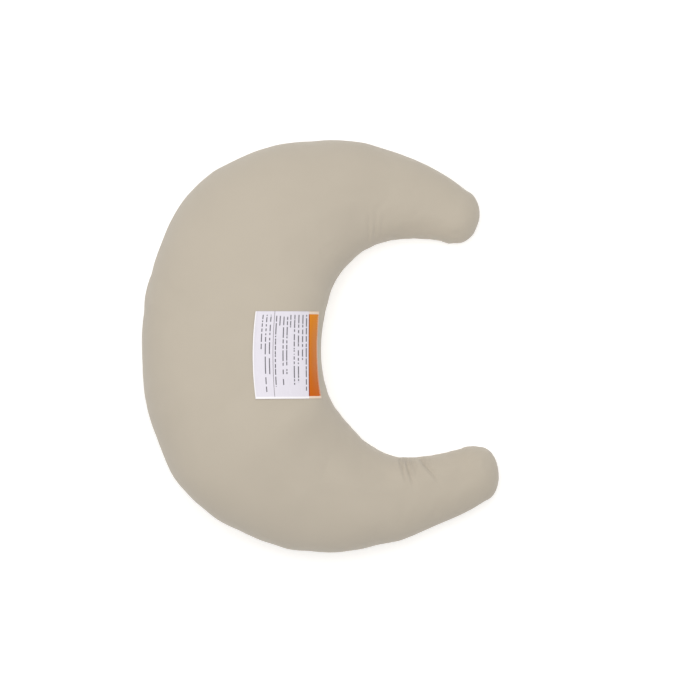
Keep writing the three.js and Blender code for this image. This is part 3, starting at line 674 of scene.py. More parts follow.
def swollen(body, seam_points):
    """The body as inflated cloth: remeshed evenly, held along the seam, with 3% more cloth than it needs
    and pressure inside, stepped through 20 frames. The result is a new mesh."""
    scene = bpy.context.scene
    remesh = body.modifiers.new("even", "REMESH")
    remesh.mode = "VOXEL"
    remesh.voxel_size = SWELL_VOXEL
    even_mesh = bpy.data.meshes.new_from_object(body.evaluated_get(bpy.context.evaluated_depsgraph_get()))
    cloth_body = bpy.data.objects.new("cloth body", even_mesh)
    scene.collection.objects.link(cloth_body)
    found = np.empty(len(even_mesh.vertices) * 3)
    even_mesh.vertices.foreach_get("co", found)
    found = found.reshape(-1, 3)
    away = np.full(len(found), 1.0)
    for part in np.array_split(seam_points, 8):
        away = np.minimum(away, np.linalg.norm(found[:, None] - part[None], axis=-1).min(1))
    held = cloth_body.vertex_groups.new(name="seam")
    held.add(np.flatnonzero(away < HELD_WITHIN).tolist(), 1.0, "REPLACE")
    cloth = cloth_body.modifiers.new("cloth", "CLOTH")
    cloth.settings.vertex_group_mass = "seam"
    cloth.settings.quality = 6
    cloth.settings.mass = 0.15
    cloth.settings.tension_stiffness = 25
    cloth.settings.compression_stiffness = 25
    cloth.settings.bending_stiffness = 0.3
    cloth.settings.use_pressure = True
    cloth.settings.uniform_pressure_force = SWELL_PRESSURE
    cloth.settings.shrink_min = -EXTRA_CLOTH
    cloth.settings.effector_weights.gravity = 0
    cloth.point_cache.frame_start = 1
    cloth.point_cache.frame_end = SWELL_FRAMES
    for step in range(1, SWELL_FRAMES + 1):
        scene.frame_set(step)
    final = bpy.data.meshes.new_from_object(cloth_body.evaluated_get(bpy.context.evaluated_depsgraph_get()))
    scene.frame_set(1)
    bpy.data.objects.remove(cloth_body)
    bpy.data.objects.remove(body)
    result = bpy.data.objects.new("swollen", final)
    scene.collection.objects.link(result)
    return result


def grid_probe(points):
    """A bare mesh over a grid, with every point kept."""
    columns, rows = points.shape[:2]
    index = np.arange(columns * rows).reshape(columns, rows)
    quads = np.stack([index[:-1, :-1], index[1:, :-1], index[1:, 1:], index[:-1, 1:]], -1)
    mesh = bpy.data.meshes.new("probe")
    mesh.from_pydata(points.reshape(-1, 3).tolist(), [], quads.reshape(-1, 4).tolist())
    probe = bpy.data.objects.new("probe", mesh)
    bpy.context.scene.collection.objects.link(probe)
    return probe


def projected(points, target, down=False):
    """The grid's points moved onto a target body, along their own normals or straight down."""
    probe = grid_probe(points)
    wrap = probe.modifiers.new("onto", "SHRINKWRAP")
    wrap.target = target
    wrap.wrap_method = "PROJECT"
    wrap.use_positive_direction = not down
    wrap.use_negative_direction = True
    wrap.use_project_z = down
    wrap.project_limit = 0 if down else FOLD_SEARCH
    done = probe.evaluated_get(bpy.context.evaluated_depsgraph_get()).to_mesh()
    found = np.empty(len(done.vertices) * 3)
    done.vertices.foreach_get("co", found)
    bpy.data.objects.remove(probe)
    return found.reshape(points.shape)


def blurred(field, times):
    """The field averaged with its neighbours on the grid, over and over."""
    for _ in range(times):
        field = 0.5 * field + 0.25 * (np.roll(field, 1, 0) + np.roll(field, -1, 0))
        padded = np.pad(field, ((0, 0), (1, 1)), mode="edge")
        field = 0.5 * field + 0.25 * (padded[:, :-2] + padded[:, 2:])
    return field


def cover_shape(side, rows, target):
    """The outer face of one panel, with its hollows, puckers, creases and the simulated folds."""
    cols = COVER_COLUMNS
    open_share = zip_share(cols)
    gap = SEAM_HALF + (ZIP_GAP - SEAM_HALF) * open_share
    allowance = ALLOWANCE * (1 - open_share) + 0.0002
    bare = sewn_panel(cols, side, rows, COVER_INSET, gap, allowance, COVER_ROLL)
    normal = normals_of(bare, side)
    depth = hollows(bare, normal, HEM_ROWS) + puckers(cols, bare)
    if side > 0:
        depth += creases(bare)
    away = np.linalg.norm(bare - bare[:, HEM_ROWS, None], axis=-1)
    line = np.exp(-(((away - (STITCH_LINE - ZIP_GAP)) / GROOVE_HALF) ** 2)) * open_share[:, None]
    depth += GROOVE_DEPTH * line
    if target is not None:
        moved = ((projected(bare, target) - bare) * normal).sum(-1)
        moved = np.clip(moved - np.median(moved), -0.008, 0.008)
        folds = moved - blurred(moved, 60)
        calm = smooth(0.012, 0.04, away) * smooth(0.012, 0.03, bare[..., 2]) * off_centre(bare)
        crowded = smooth(0.25, 0.5, cols["share"]) * smooth(0.2, -0.6, cols["turn"])
        size = 0.35 + 0.45 * crowded[:, None]
        depth -= np.clip(blurred(folds, 2) * size, *FOLD_LIMITS) * calm
    depth[:, :HEM_ROWS] = 0
    return bare - normal * depth[..., None]


def knitted():
    """A node group for jersey knit. Height draws each wale as two slanting legs, and Shade is a soft
    mottling."""
    group, result, counted = cloth_group("Jersey knit", "Loops")
    split = add_node(group, "ShaderNodeSeparateXYZ", {0: counted})
    across = maths(group, "SUBTRACT", maths(group, "FRACT", split.outputs["X"]), 0.5)
    leg = maths(group, "ABSOLUTE", across)
    slant = maths(group, "MULTIPLY_ADD", leg, 1.3, split.outputs["Y"])
    loops = maths(group, "SINE", maths(group, "MULTIPLY", slant, 2 * np.pi))
    ridge = maths(group, "SINE", maths(group, "MULTIPLY", leg, 2 * np.pi))
    height = maths(group, "MULTIPLY_ADD", maths(group, "MULTIPLY", loops, ridge), 0.5, 0.5)
    fuzz = add_node(group, "ShaderNodeTexNoise", {"Vector": counted, "Scale": 1.7, "Detail": 3.0})
    both = maths(group, "MULTIPLY_ADD", fuzz.outputs["Fac"], 0.8, height)
    mottle = add_node(group, "ShaderNodeTexNoise", {"Vector": counted, "Scale": 0.02, "Detail": 4.0})
    group.links.new(both, result.inputs["Height"])
    group.links.new(mottle.outputs["Fac"], result.inputs["Shade"])
    return group


KNIT = knitted()


def cover_material():
    """Beige brushed jersey: a fine knit under a short nap, with a slight unevenness of the dye, and painted
    shade in the valleys of the knit.
    """
    material, tree, shader = new_material("beige jersey", 0.88, Sheen_Weight=0.18, Sheen_Roughness=0.6)
    flat = add_node(tree, "ShaderNodeUVMap", uv_map="cloth").outputs["UV"]
    knit = effect(tree, KNIT, Place=flat, Loops=1250.0)
    uneven = noise(tree, flat, 14, 3)
    blend = maths(tree, "MULTIPLY_ADD", knit.outputs["Shade"], 0.5, maths(tree, "MULTIPLY", uneven, 0.5))
    colour = between(tree, blend, (0.455, 0.404, 0.330, 1), (0.503, 0.449, 0.369, 1))
    # Painted shade: the colour is darkened towards a dark brown where the knit is low, in the valleys between
    # its loops.
    valley = maths(tree, "MULTIPLY", knit.outputs["Height"], 0.12)
    colour_with_painted_shade = between(tree, maths(tree, "SUBTRACT", 0.12, valley), colour, (0.30, 0.26, 0.21, 1))
    tree.links.new(colour_with_painted_shade, shader.inputs["Base Color"])
    rough = maths(tree, "MULTIPLY_ADD", uneven, 0.08, 0.84)
    tree.links.new(rough, shader.inputs["Roughness"])
    tree.links.new(bump(tree, knit.outputs["Height"], 0.00012, 0.6), shader.inputs["Normal"])
    return material


jersey = cover_material()
inflated = None
coarse = all_columns(80, 14)
seam_points = beside(coarse, seam_of(coarse, COVER_INSET), 1, 0, 0)
inflated = swollen(closed_body("swelling", coarse, SWELL_INSET, 18, 18), seam_points)
for name, side, rows, node, flat, area, under in (
    ("cover_top", 1, 44, "cover_top_panel", (0.60, 0.70), 0.252, "casing_top"),
    ("cover_bottom", -1, 36, "cover_bottom_panel", (0.48, 0.55), 0.161, "casing_bottom"),
):
    shape = cover_shape(side, rows, inflated)
    panel = grid_mesh(name, shape, flip=side < 0, uv=cloth_places(shape))
    thicken(panel, CLOTH)
    finish(panel, "pillow", "cover_fabric", jersey, node)
    if side > 0:
        cover_top = panel
if inflated is not None:
    bpy.data.objects.remove(inflated)
for name in ("cover_seam_overlock", "casing_seam_overlock"):
    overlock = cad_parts[name]
    overlock.data.materials.clear()
    overlock.data.materials.append(THREAD)


# ---- Zip ----
# A nylon coil zip in the back seam. Each coil is one bent monofilament, sewn to a narrow woven tape, and
# the panels are folded back beside the coils and topstitched to the tapes.
TAPE_ANGLE = np.radians(24.1)
STITCH_ANGLE = np.radians(23.9)
COIL_ANGLE = np.radians(21.8)
TAPE_NEAR = 0.0008
TAPE_FAR = 0.013
TAPE_DEPTH = 0.0013
TAPE = 0.0006
COIL_PITCH = 0.00125
WIRE = 0.00027
COIL_MIDDLE = 0.00185
COIL_HALF_WIDTH = 0.00122
COIL_SINK = 0.00012
COIL_HALF_DEPTH = 0.00062
ZIP_STITCHES = 92
STITCH_POINTS = 7


def back_columns(angles):
    """Outer columns of the back at angles from its middle, positive towards the upper arm."""
    upper = columns_at("upper", np.abs(angles), 90)
    for key in ("y", "out_y"):
        upper[key] = np.where(angles < 0, -upper[key], upper[key])
    return upper


middle = back_columns(np.zeros(1))
SEAM_RADIUS = BACK_R + on_section(middle, seam_angle(middle), COVER_INSET)[0][0]


def tube_mesh(name, paths, radius, sides):
    """Round tubes along paths of points (tubes, points, 3): a circle of the given radius, in the plane
    across the path at each point. radius may differ from point to point, and the ends are closed."""
    way = unit(np.gradient(paths, axis=1))
    upright = np.broadcast_to(np.array([0.0, 0.0, 1.0]), way.shape)
    first = unit(np.cross(way, upright + 1e-6))
    second = np.cross(way, first)
    turn = np.linspace(0, 2 * np.pi, sides, endpoint=False)
    circle = first[:, :, None] * np.cos(turn)[:, None] + second[:, :, None] * np.sin(turn)[:, None]
    width = np.broadcast_to(radius, paths.shape[:2])[..., None, None]
    points = paths[:, :, None] + circle * width
    tubes, steps = paths.shape[:2]
    index = np.arange(tubes * steps * sides).reshape(tubes, steps, sides)
    after = np.roll(index, -1, 2)
    quads = np.stack([index[:, :-1], after[:, :-1], after[:, 1:], index[:, 1:]], -1).reshape(-1, 4)
    caps = [index[:, 0, ::-1].tolist(), index[:, -1].tolist()]
    mesh = bpy.data.meshes.new(name)
    mesh.from_pydata(points.reshape(-1, 3).tolist(), [], quads.tolist() + caps[0] + caps[1])
    mesh.polygons.foreach_set("use_smooth", np.ones(len(mesh.polygons), bool))
    mesh.update()
    made = bpy.data.objects.new(name, mesh)
    bpy.context.scene.collection.objects.link(made)
    return made


def tape_material():
    """Woven polyester tape in the colour of the cover."""
    material, tree, shader = new_material("zip tape", 0.8)
    flat = add_node(tree, "ShaderNodeUVMap", uv_map="cloth").outputs["UV"]
    weave = effect(tree, WOVEN, Place=flat, Threads=1100.0)
    colour = between(tree, weave.outputs["Shade"], (0.40, 0.35, 0.275, 1), (0.50, 0.44, 0.355, 1))
    tree.links.new(colour, shader.inputs["Base Color"])
    tree.links.new(bump(tree, weave.outputs["Height"], 0.00022), shader.inputs["Normal"])
    return material


def coil_material():
    """Dyed nylon filament: satin, a little lighter where the slider has polished it."""
    material, tree, shader = new_material("nylon coil", 0.38, Coat_Weight=0.1)
    place_socket = add_node(tree, "ShaderNodeTexCoord").outputs["Object"]
    worn = noise(tree, place_socket, 240, 3)
    colour = between(tree, worn, (0.40, 0.35, 0.28, 1), (0.49, 0.435, 0.355, 1))
    tree.links.new(colour, shader.inputs["Base Color"])
    tree.links.new(maths(tree, "MULTIPLY_ADD", worn, 0.2, 0.3), shader.inputs["Roughness"])
    return material


def tape_strip(name, side):
    """A closed strip with rounded edges: its outline across the zip is carried along the back."""
    angles = np.linspace(-TAPE_ANGLE, TAPE_ANGLE, 150)
    cols = back_columns(angles)
    seam = seam_of(cols, COVER_INSET)
    edge = TAPE / 2
    outline = [(TAPE_NEAR, edge), (TAPE_NEAR + edge, 0)]
    outline += [(x, 0) for x in np.linspace(TAPE_NEAR + 0.003, TAPE_FAR - 0.001, 5)]
    outline += [(TAPE_FAR - edge, 0), (TAPE_FAR, edge), (TAPE_FAR - edge, TAPE), (TAPE_NEAR + edge, TAPE)]
    outline.append(outline[0])
    points = np.stack([beside(cols, seam, side, x, TAPE_DEPTH + z) for x, z in outline], 1)
    run = angles[:, None] * SEAM_RADIUS
    uv = np.stack(np.broadcast_arrays(np.array([x for x, _ in outline])[None], run), -1)
    return grid_mesh(name, points, closed=False, flip=side < 0, uv=uv)


def coil_path(side):
    """One bent filament: it winds round the edge of the tape, an oval 2.5 mm wide and 1.5 mm deep, and
    moves on by one pitch each turn."""
    turns = int(2 * COIL_ANGLE * SEAM_RADIUS / COIL_PITCH)
    phase = np.linspace(0, turns, turns * 10 + 1) + (0.5 if side > 0 else 0.0)
    angles = (phase / (turns + 0.5) * 2 - 1) * (COIL_ANGLE - 0.0006)
    cols = back_columns(angles)
    seam = seam_of(cols, COVER_INSET)
    wind = 2 * np.pi * phase
    across = COIL_MIDDLE - COIL_HALF_WIDTH * np.cos(wind)
    depth = COIL_SINK + COIL_HALF_DEPTH * np.sin(wind)
    return beside(cols, seam, side, across, depth)[None]


def stitches(name, cols, seam, side, along, height):
    """Separate stitches that follow a line on the cloth. Each is a short tube that dips in at its ends."""
    rise = np.sin(np.linspace(0, np.pi, STITCH_POINTS)) ** 0.6
    count = len(cols["x"]) // STITCH_POINTS
    lift = np.tile(rise, count)
    path = beside(cols, seam, side, along, -height * lift + 0.0003 * (1 - lift))
    paths = path.reshape(count, STITCH_POINTS, 3)
    taper_in = 0.00019 * np.sin(np.linspace(0.25, np.pi - 0.25, STITCH_POINTS)) ** 0.4
    return tube_mesh(name, paths, taper_in[None], 6)


tape_cloth, nylon = tape_material(), coil_material()
for name, side in (("upper", 1), ("lower", -1)):
    tape = tape_strip("zip_tape_" + name + "_woven", side)
    finish(tape, "pillow", "zip_tape", tape_cloth, "zip_tape_" + name)
    coil = tube_mesh("zip_coil_" + name + "_filament", coil_path(side), WIRE, 5)
    finish(coil, "pillow", "zip_coil", nylon, "zip_coil_" + name)
    starts = np.linspace(-STITCH_ANGLE, STITCH_ANGLE, ZIP_STITCHES, endpoint=False)
    each = np.linspace(0.06, 0.94, STITCH_POINTS) * (2 * STITCH_ANGLE / ZIP_STITCHES)
    line_cols = back_columns((starts[:, None] + each).ravel())
    line_seam = seam_of(line_cols, COVER_INSET)
    sewn = stitches("zip_stitches_" + name, line_cols, line_seam, side, STITCH_LINE, 0.00012)
    finish(sewn, "pillow", "thread", THREAD, "zip_stitching_" + name)


def metal_material(name, low, high, roughness, metallic):
    """Die-cast metal, painted or bare: fine speckle in the colour, faint scratches in the gloss."""
    material, tree, shader = new_material(name, roughness, Metallic=metallic, Coat_Weight=0.15)
    place_socket = add_node(tree, "ShaderNodeTexCoord").outputs["Object"]
    speckle = noise(tree, place_socket, 2600, 4)
    rub = noise(tree, place_socket, 350, 5)
    colour = between(tree, maths(tree, "MULTIPLY_ADD", speckle, 0.5, maths(tree, "MULTIPLY", rub, 0.5)),
                     low, high)
    tree.links.new(colour, shader.inputs["Base Color"])
    tree.links.new(maths(tree, "MULTIPLY_ADD", rub, 0.25, roughness - 0.12), shader.inputs["Roughness"])
    tree.links.new(bump(tree, speckle, 0.00002, 0.5), shader.inputs["Normal"])
    return material


def softened(node, radius):
    """A copy of a CAD piece with its edges rounded, as cast or stamped metal has them."""
    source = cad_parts[node]
    copy = bpy.data.objects.new(node + "_rounded", source.data.copy())
    bpy.context.scene.collection.objects.link(copy)
    body = bmesh.new()
    body.from_mesh(copy.data)
    bmesh.ops.remove_doubles(body, verts=body.verts, dist=1e-6)
    bmesh.ops.dissolve_limit(body, angle_limit=np.radians(2), verts=body.verts, edges=body.edges)
    body.to_mesh(copy.data)
    body.free()
    edge = copy.modifiers.new("rounded", "BEVEL")
    edge.width = radius
    edge.segments = 3
    edge.limit_method = "ANGLE"
    edge.angle_limit = np.radians(35)
    copy.data.polygons.foreach_set("use_smooth", np.ones(len(copy.data.polygons), bool))
    normals = copy.modifiers.new("even shading", "WEIGHTED_NORMAL")
    normals.keep_sharp = True
    return copy


painted = metal_material("painted zip metal", (0.37, 0.325, 0.26, 1), (0.46, 0.41, 0.335, 1), 0.42, 0.35)
steel = metal_material("bare zip metal", (0.30, 0.30, 0.29, 1), (0.42, 0.42, 0.41, 1), 0.4, 0.95)
for node, body_name, slot_name, material, radius in (
    ("zip_slider", "slider", "zip_slider_metal", painted, 0.00022),
    ("zip_pull_tab", "pull_tab", "zip_slider_metal", painted, 0.00025),
    ("zip_top_stop_upper", "pillow", "zip_stop_metal", steel, 0.00025),
    ("zip_top_stop_lower", "pillow", "zip_stop_metal", steel, 0.00025),
    ("zip_bottom_stop", "pillow", "zip_stop_metal", steel, 0.0003),
):
    finish(softened(node, radius), body_name, slot_name, material, node)


# ---- Care label ----
# One piece of smooth coated cloth, printed with a coloured band and plain rows. Its band is sewn down on
# three sides beside the waist opening, and the rest folds back over the pillow and lies free.
LABEL_LEFT, LABEL_FOLD, LABEL_RIGHT = -0.0765, -0.0127, 0.001
LABEL_BOTTOM, LABEL_TOP = -0.0626, 0.0424
LABEL_CLOTH = 0.00045
LABEL_BULGE = 0.0036
LABEL_LIES = 0.0009
BAND_LENGTH = 0.0205
BAND_LIMIT = 0.008
RIPPLE = 0.0005
RIPPLE_LENGTH = 0.047
END_CURL = 0.0012
CORNER_CURL = 0.0009
LABEL_STITCH_PITCH = 0.0027


def band_places(y, lengths):
    """Where the band's points lie in plan, for rows at y and lengths of cloth from the fold. The length
    along the cover is the sum of hypot(step, rise) over fine steps towards the waist opening."""
    fine = np.linspace(LABEL_FOLD, BAND_LIMIT, 80)
    probe = np.stack(np.broadcast_arrays(fine[:, None], y[None], 0.2), -1)
    height = projected(probe, cover_top, down=True)[..., 2]
    steps = np.hypot(fine[1] - fine[0], np.diff(height, axis=0))
    length = np.concatenate([np.zeros((1, len(y))), np.cumsum(steps, 0)])
    after = np.clip((length[None] < lengths[:, None, None]).sum(1), 1, len(fine) - 1)
    below, above = np.take_along_axis(length, after - 1, 0), np.take_along_axis(length, after, 0)
    share = np.clip((lengths[:, None] - below) / (above - below), 0, 1)
    return fine[after - 1] + (fine[1] - fine[0]) * share


def label_shape():
    """The label's upper face on a grid. It lies on the cover, stays straight along its fold where it
    spans the dip beside the waist opening, and its free part bows out a little halfway up."""
    flat_x = np.linspace(LABEL_LEFT, LABEL_RIGHT, 80)
    flat_y = np.linspace(LABEL_BOTTOM, LABEL_TOP, 106)
    x, y = np.meshgrid(flat_x, flat_y, indexing="ij")
    middle = (LABEL_BOTTOM + LABEL_TOP) / 2
    bow = 1 - ((y - middle) / (LABEL_TOP - middle)) ** 2
    free = np.clip((LABEL_FOLD - x) / (LABEL_FOLD - LABEL_LEFT), 0, 1)
    on_band = np.clip((flat_x - LABEL_FOLD) / (LABEL_RIGHT - LABEL_FOLD), 0, 1)
    plan_x = np.where(x > LABEL_FOLD, band_places(flat_y, on_band * BAND_LENGTH), x)
    plan_x = plan_x - LABEL_BULGE * bow * (0.12 + 0.88 * free) * smooth(LABEL_RIGHT, LABEL_FOLD, x)
    probe = np.stack([plan_x, y, np.full(x.shape, 0.2)], -1)
    lying = blurred_open(projected(probe, cover_top, down=True)[..., 2], 4)
    slope = np.gradient(lying, axis=0) / np.gradient(plan_x, axis=0)
    share = (y - LABEL_BOTTOM) / (LABEL_TOP - LABEL_BOTTOM)
    straight = lying[:, :1] + (lying[:, -1:] - lying[:, :1]) * share
    left_hold = smooth((LABEL_LEFT + LABEL_FOLD) / 2, LABEL_FOLD, x)
    right_hold = 1 - smooth(LABEL_FOLD, LABEL_RIGHT, x)
    hold = np.where(x <= LABEL_FOLD, left_hold, right_hold)
    height = lying + np.maximum(straight - lying, 0) * hold + LABEL_LIES * np.minimum(np.hypot(1, slope), 3)
    ripple = RIPPLE * np.sin(2 * np.pi * (y - LABEL_BOTTOM) / RIPPLE_LENGTH + 60 * x) * free
    curl = END_CURL * smooth(0.93, 1, free) * (0.4 + 0.6 * share)
    curl += CORNER_CURL * smooth(0.95, 1, 1 - share) * free
    points = np.stack([plan_x, y, height + np.abs(ripple) + curl], -1)
    return points, np.stack([x, y], -1)


def blurred_open(field, times):
    """The field averaged with its neighbours on a grid with four edges."""
    for _ in range(times):
        padded = np.pad(field, 1, mode="edge")
        cross = padded[:-2, 1:-1] + padded[2:, 1:-1] + padded[1:-1, :-2] + padded[1:-1, 2:]
        field = 0.5 * field + 0.125 * cross
    return field


# Each printed row: its middle and how far up it starts and ends.
PRINTED_ROWS = [
    (-0.0670, 0.039, -0.002), (-0.0623, 0.039, -0.054), (-0.0576, 0.039, -0.035),
    (-0.0508, 0.036, -0.050), (-0.0465, 0.038, 0.024), (-0.0422, 0.038, -0.046),
    (-0.0379, 0.036, -0.035), (-0.0341, 0.038, 0.023), (-0.0294, 0.037, -0.047),
    (-0.0247, 0.036, -0.045), (-0.0200, 0.037, -0.017), (-0.0157, 0.036, -0.055),
]
ROW_HALF = 0.00062


def label_material():
    """Smooth white coated cloth, cut with a hot knife, with an orange band, rows of plain grey dashes and a
    thin line. The band carries painted light: darker and redder towards the bottom, lighter towards the top.
    Place is the flat label, in metres."""
    material, tree, shader = new_material("printed label cloth", 0.6, Specular_IOR_Level=0.2)
    flat = add_node(tree, "ShaderNodeUVMap", uv_map="cloth").outputs["UV"]
    split = add_node(tree, "ShaderNodeSeparateXYZ", {0: flat})
    x, y = split.outputs["X"], split.outputs["Y"]

    def inside(value, low, high):
        return maths(tree, "MULTIPLY", maths(tree, "GREATER_THAN", value, low),
                     maths(tree, "LESS_THAN", value, high))

    def box(left, right, bottom, top):
        return maths(tree, "MULTIPLY", inside(x, left, right), inside(y, bottom, top))

    weave = effect(tree, WOVEN, Place=flat, Threads=2600.0)
    ground = between(tree, weave.outputs["Shade"], (0.66, 0.635, 0.71, 1), (0.76, 0.735, 0.80, 1))
    # Painted light on the band: its colour runs darker and redder towards the bottom of the label and lighter
    # towards the top.
    painted_light_share = maths(tree, "DIVIDE", maths(tree, "SUBTRACT", y, LABEL_BOTTOM), LABEL_TOP - LABEL_BOTTOM)
    band_colour_painted_light = between(tree, painted_light_share, (0.54, 0.108, 0.0005, 1), (0.70, 0.232, 0.004, 1))
    band = box(LABEL_FOLD, LABEL_RIGHT - 0.0008, LABEL_BOTTOM + 0.003, LABEL_TOP - 0.0035)
    colour = between(tree, band, ground, band_colour_painted_light)
    border = box(LABEL_FOLD - 0.0003, LABEL_FOLD + 0.0007, LABEL_BOTTOM + 0.003, LABEL_TOP - 0.0035)
    colour = between(tree, maths(tree, "MULTIPLY", border, 0.8), colour, (0.22, 0.02, 0.01, 1))
    row_ends = add_node(tree, "ShaderNodeValToRGB")
    ramp = row_ends.color_ramp
    ramp.interpolation = "CONSTANT"
    span = LABEL_FOLD - LABEL_LEFT
    tree.links.new(maths(tree, "DIVIDE", maths(tree, "SUBTRACT", x, LABEL_LEFT), span),
                   row_ends.inputs["Fac"])
    ramp.elements[0].color = (0, 0, 0, 1)
    ramp.elements[1].position = 0.999
    ramp.elements[1].color = (0, 0, 0, 1)
    for middle, start, end in PRINTED_ROWS:
        for edge, value in ((-ROW_HALF, (start - end) / 0.1), (ROW_HALF, 0)):
            stop = ramp.elements.new((middle + edge - LABEL_LEFT) / span)
            stop.color = (value, value, value, 1)
    run = maths(tree, "DIVIDE", maths(tree, "SUBTRACT", 0.038, y), 0.1)
    printed = maths(tree, "MULTIPLY", maths(tree, "LESS_THAN", run, row_ends.outputs["Color"]),
                    maths(tree, "GREATER_THAN", run, 0.0))
    stretched = add_node(tree, "ShaderNodeMapping", {"Vector": flat, "Scale": (60.0, 330.0, 1.0)})
    gaps = noise(tree, stretched.outputs[0], 1.0, 0)
    printed = maths(tree, "MULTIPLY", printed, maths(tree, "GREATER_THAN", gaps, 0.42))
    colour = between(tree, maths(tree, "MULTIPLY", printed, 0.85), colour, (0.05, 0.047, 0.06, 1))
    rule = box(-0.0537, -0.0531, LABEL_BOTTOM + 0.001, 1)
    colour = between(tree, maths(tree, "MULTIPLY", rule, 0.85), colour, (0.09, 0.07, 0.08, 1))
    body = box(LABEL_LEFT + 0.0012, LABEL_FOLD, LABEL_BOTTOM + 0.0026, 1)
    rim = maths(tree, "MULTIPLY", maths(tree, "SUBTRACT", 1.0, body), maths(tree, "LESS_THAN", x, LABEL_FOLD))
    colour = between(tree, maths(tree, "MULTIPLY", rim, 0.85), colour, (0.90, 0.88, 0.90, 1))
    sewn_side = maths(tree, "GREATER_THAN", x, LABEL_FOLD)
    hem = maths(tree, "MULTIPLY", maths(tree, "SUBTRACT", 1.0, band), sewn_side)
    colour = between(tree, maths(tree, "MULTIPLY", hem, 0.8), colour, (0.80, 0.62, 0.45, 1))
    tree.links.new(colour, shader.inputs["Base Color"])
    rough = maths(tree, "MULTIPLY_ADD", printed, 0.12, 0.55)
    tree.links.new(rough, shader.inputs["Roughness"])
    tree.links.new(bump(tree, weave.outputs["Height"], 0.00005, 0.5), shader.inputs["Normal"])
    return material


label_points, label_flat = label_shape()
label = grid_mesh("care_label", label_points, closed=False, uv=label_flat)
thicken(label, LABEL_CLOTH)
solid_label = bpy.data.meshes.new_from_object(
    label.evaluated_get(bpy.context.evaluated_depsgraph_get()))
label.modifiers.clear()
label.data = solid_label
label.data.materials.clear()
label.data.materials.append(label_material())
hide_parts("label_header", "label_flap")
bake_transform(label)


def label_stitches():
    """Stitches of 2.4 mm round the band's three sewn sides, 1.8 mm in from its edges."""
    inset = 0.0018
    corners = np.array([
        (LABEL_FOLD + 0.001, LABEL_TOP - inset), (LABEL_RIGHT - inset, LABEL_TOP - inset),
        (LABEL_RIGHT - inset, LABEL_BOTTOM + inset), (LABEL_FOLD + 0.001, LABEL_BOTTOM + inset),
    ])
    lengths = np.linalg.norm(np.diff(corners, axis=0), axis=1)
    reach = np.concatenate([[0], np.cumsum(lengths)])
    count = int(reach[-1] / LABEL_STITCH_PITCH)
    starts = np.arange(count) * reach[-1] / count
    at = (starts[:, None] + np.linspace(0.05, 0.92, STITCH_POINTS) * reach[-1] / count)
    flat = np.stack([np.interp(at, reach, corners[:, 0]), np.interp(at, reach, corners[:, 1])], -1)
    nodes_x = np.linspace(LABEL_LEFT, LABEL_RIGHT, label_points.shape[0])
    nodes_y = np.linspace(LABEL_BOTTOM, LABEL_TOP, label_points.shape[1])
    i = np.clip((flat[..., 0] - nodes_x[0]) / (nodes_x[1] - nodes_x[0]), 0, len(nodes_x) - 1.001)
    j = np.clip((flat[..., 1] - nodes_y[0]) / (nodes_y[1] - nodes_y[0]), 0, len(nodes_y) - 1.001)
    a, b = i.astype(int), j.astype(int)
    u, v = (i - a)[..., None], (j - b)[..., None]
    near = label_points[a, b] * (1 - u) + label_points[a + 1, b] * u
    far = label_points[a, b + 1] * (1 - u) + label_points[a + 1, b + 1] * u
    paths = near * (1 - v) + far * v
    lift = np.sin(np.linspace(0, np.pi, STITCH_POINTS)) ** 0.6
    paths[..., 2] += 0.00016 * lift - 0.00025 * (1 - lift)
    taper_in = 0.00018 * np.sin(np.linspace(0.25, np.pi - 0.25, STITCH_POINTS)) ** 0.4
    return tube_mesh("label_stitches", paths, taper_in[None], 6)


def label_thread_material():
    """White sewing thread with a faint twist, and painted shade and light along it: darker in the grooves of
    the twist, lighter on its crests.
    """
    material, tree, shader = new_material("white thread", 0.65, Sheen_Weight=0.2)
    place_socket = add_node(tree, "ShaderNodeTexCoord").outputs["Object"]
    sockets = {"Vector": place_socket, "Scale": 1500.0, "Distortion": 1.0}
    ply = add_node(tree, "ShaderNodeTexWave", sockets, bands_direction="DIAGONAL").outputs["Fac"]
    # Painted shade and light: the twist that makes the bump also darkens the grooves and lightens the crests
    # of the white thread.
    colour = between(tree, ply, (0.74, 0.71, 0.66, 1), (0.88, 0.86, 0.82, 1))
    tree.links.new(colour, shader.inputs["Base Color"])
    tree.links.new(bump(tree, ply, 0.00008), shader.inputs["Normal"])
    return material


finish(label_stitches(), "pillow", "label_thread", label_thread_material(), "label_stitching")


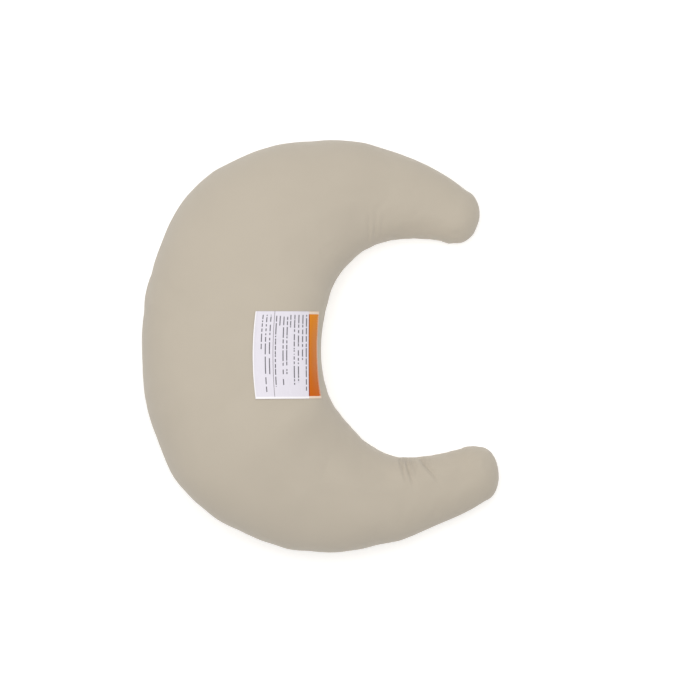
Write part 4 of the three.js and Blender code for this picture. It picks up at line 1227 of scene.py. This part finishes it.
# ---- Studio ----
# A pale floor, one large soft lamp high above the upper left, and light from all round. The camera looks
# straight down from about four metres.
FLOOR_HALF = 40.0
FLOOR_LEVEL = -0.0004
FLOOR_GLOW = 0.36
WORLD_STRENGTH = 0.46
VIEW_WIDTH = 0.8286
VIEW_DISTANCE = 4
SENSOR = 36


def studio_floor():
    """A wide pale floor that also glows a little, as a lit backdrop does."""
    mesh = bpy.data.meshes.new("studio_floor")
    signs = ((-1, -1), (1, -1), (1, 1), (-1, 1))
    mesh.from_pydata([(FLOOR_HALF * a, FLOOR_HALF * b, FLOOR_LEVEL) for a, b in signs], [], [(0, 1, 2, 3)])
    floor = bpy.data.objects.new("studio_floor", mesh)
    bpy.context.scene.collection.objects.link(floor)
    material, tree, shader = new_material("pale floor", 0.95, Base_Color=(0.86, 0.86, 0.86, 1))
    shader.inputs["Specular IOR Level"].default_value = 0.0
    shader.inputs["Emission Color"].default_value = (1, 1, 1, 1)
    shader.inputs["Emission Strength"].default_value = FLOOR_GLOW
    mesh.materials.append(material)


def area_lamp(name, location, target, size, watts):
    """A square soft lamp that points at a target."""
    lamp = bpy.data.objects.new(name, bpy.data.lights.new(name, "AREA"))
    lamp.data.size = size
    lamp.data.energy = watts
    lamp.location = location
    way = np.array(target) - np.array(location)
    lamp.rotation_euler = Vector(way).to_track_quat("-Z", "Y").to_euler()
    bpy.context.scene.collection.objects.link(lamp)


studio_floor()
area_lamp("key lamp", location=(-0.14, 0.30, 2.1), target=(0.0, 0.0, 0.0), size=2.0, watts=38)
world = bpy.data.worlds.new("studio")
world.use_nodes = True
background = world.node_tree.nodes["Background"]
background.inputs["Color"].default_value = (1.0, 0.98, 0.945, 1)
background.inputs["Strength"].default_value = WORLD_STRENGTH
bpy.context.scene.world = world

camera = bpy.data.objects.new("camera", bpy.data.cameras.new("camera"))
camera.location = (0.0238, 0.0085, 4.066)
camera.data.sensor_width = SENSOR
camera.data.lens = SENSOR * VIEW_DISTANCE / VIEW_WIDTH
camera.data.clip_end = 50
bpy.context.scene.collection.objects.link(camera)
bpy.context.scene.camera = camera
bpy.context.scene.view_settings.view_transform = "Standard"
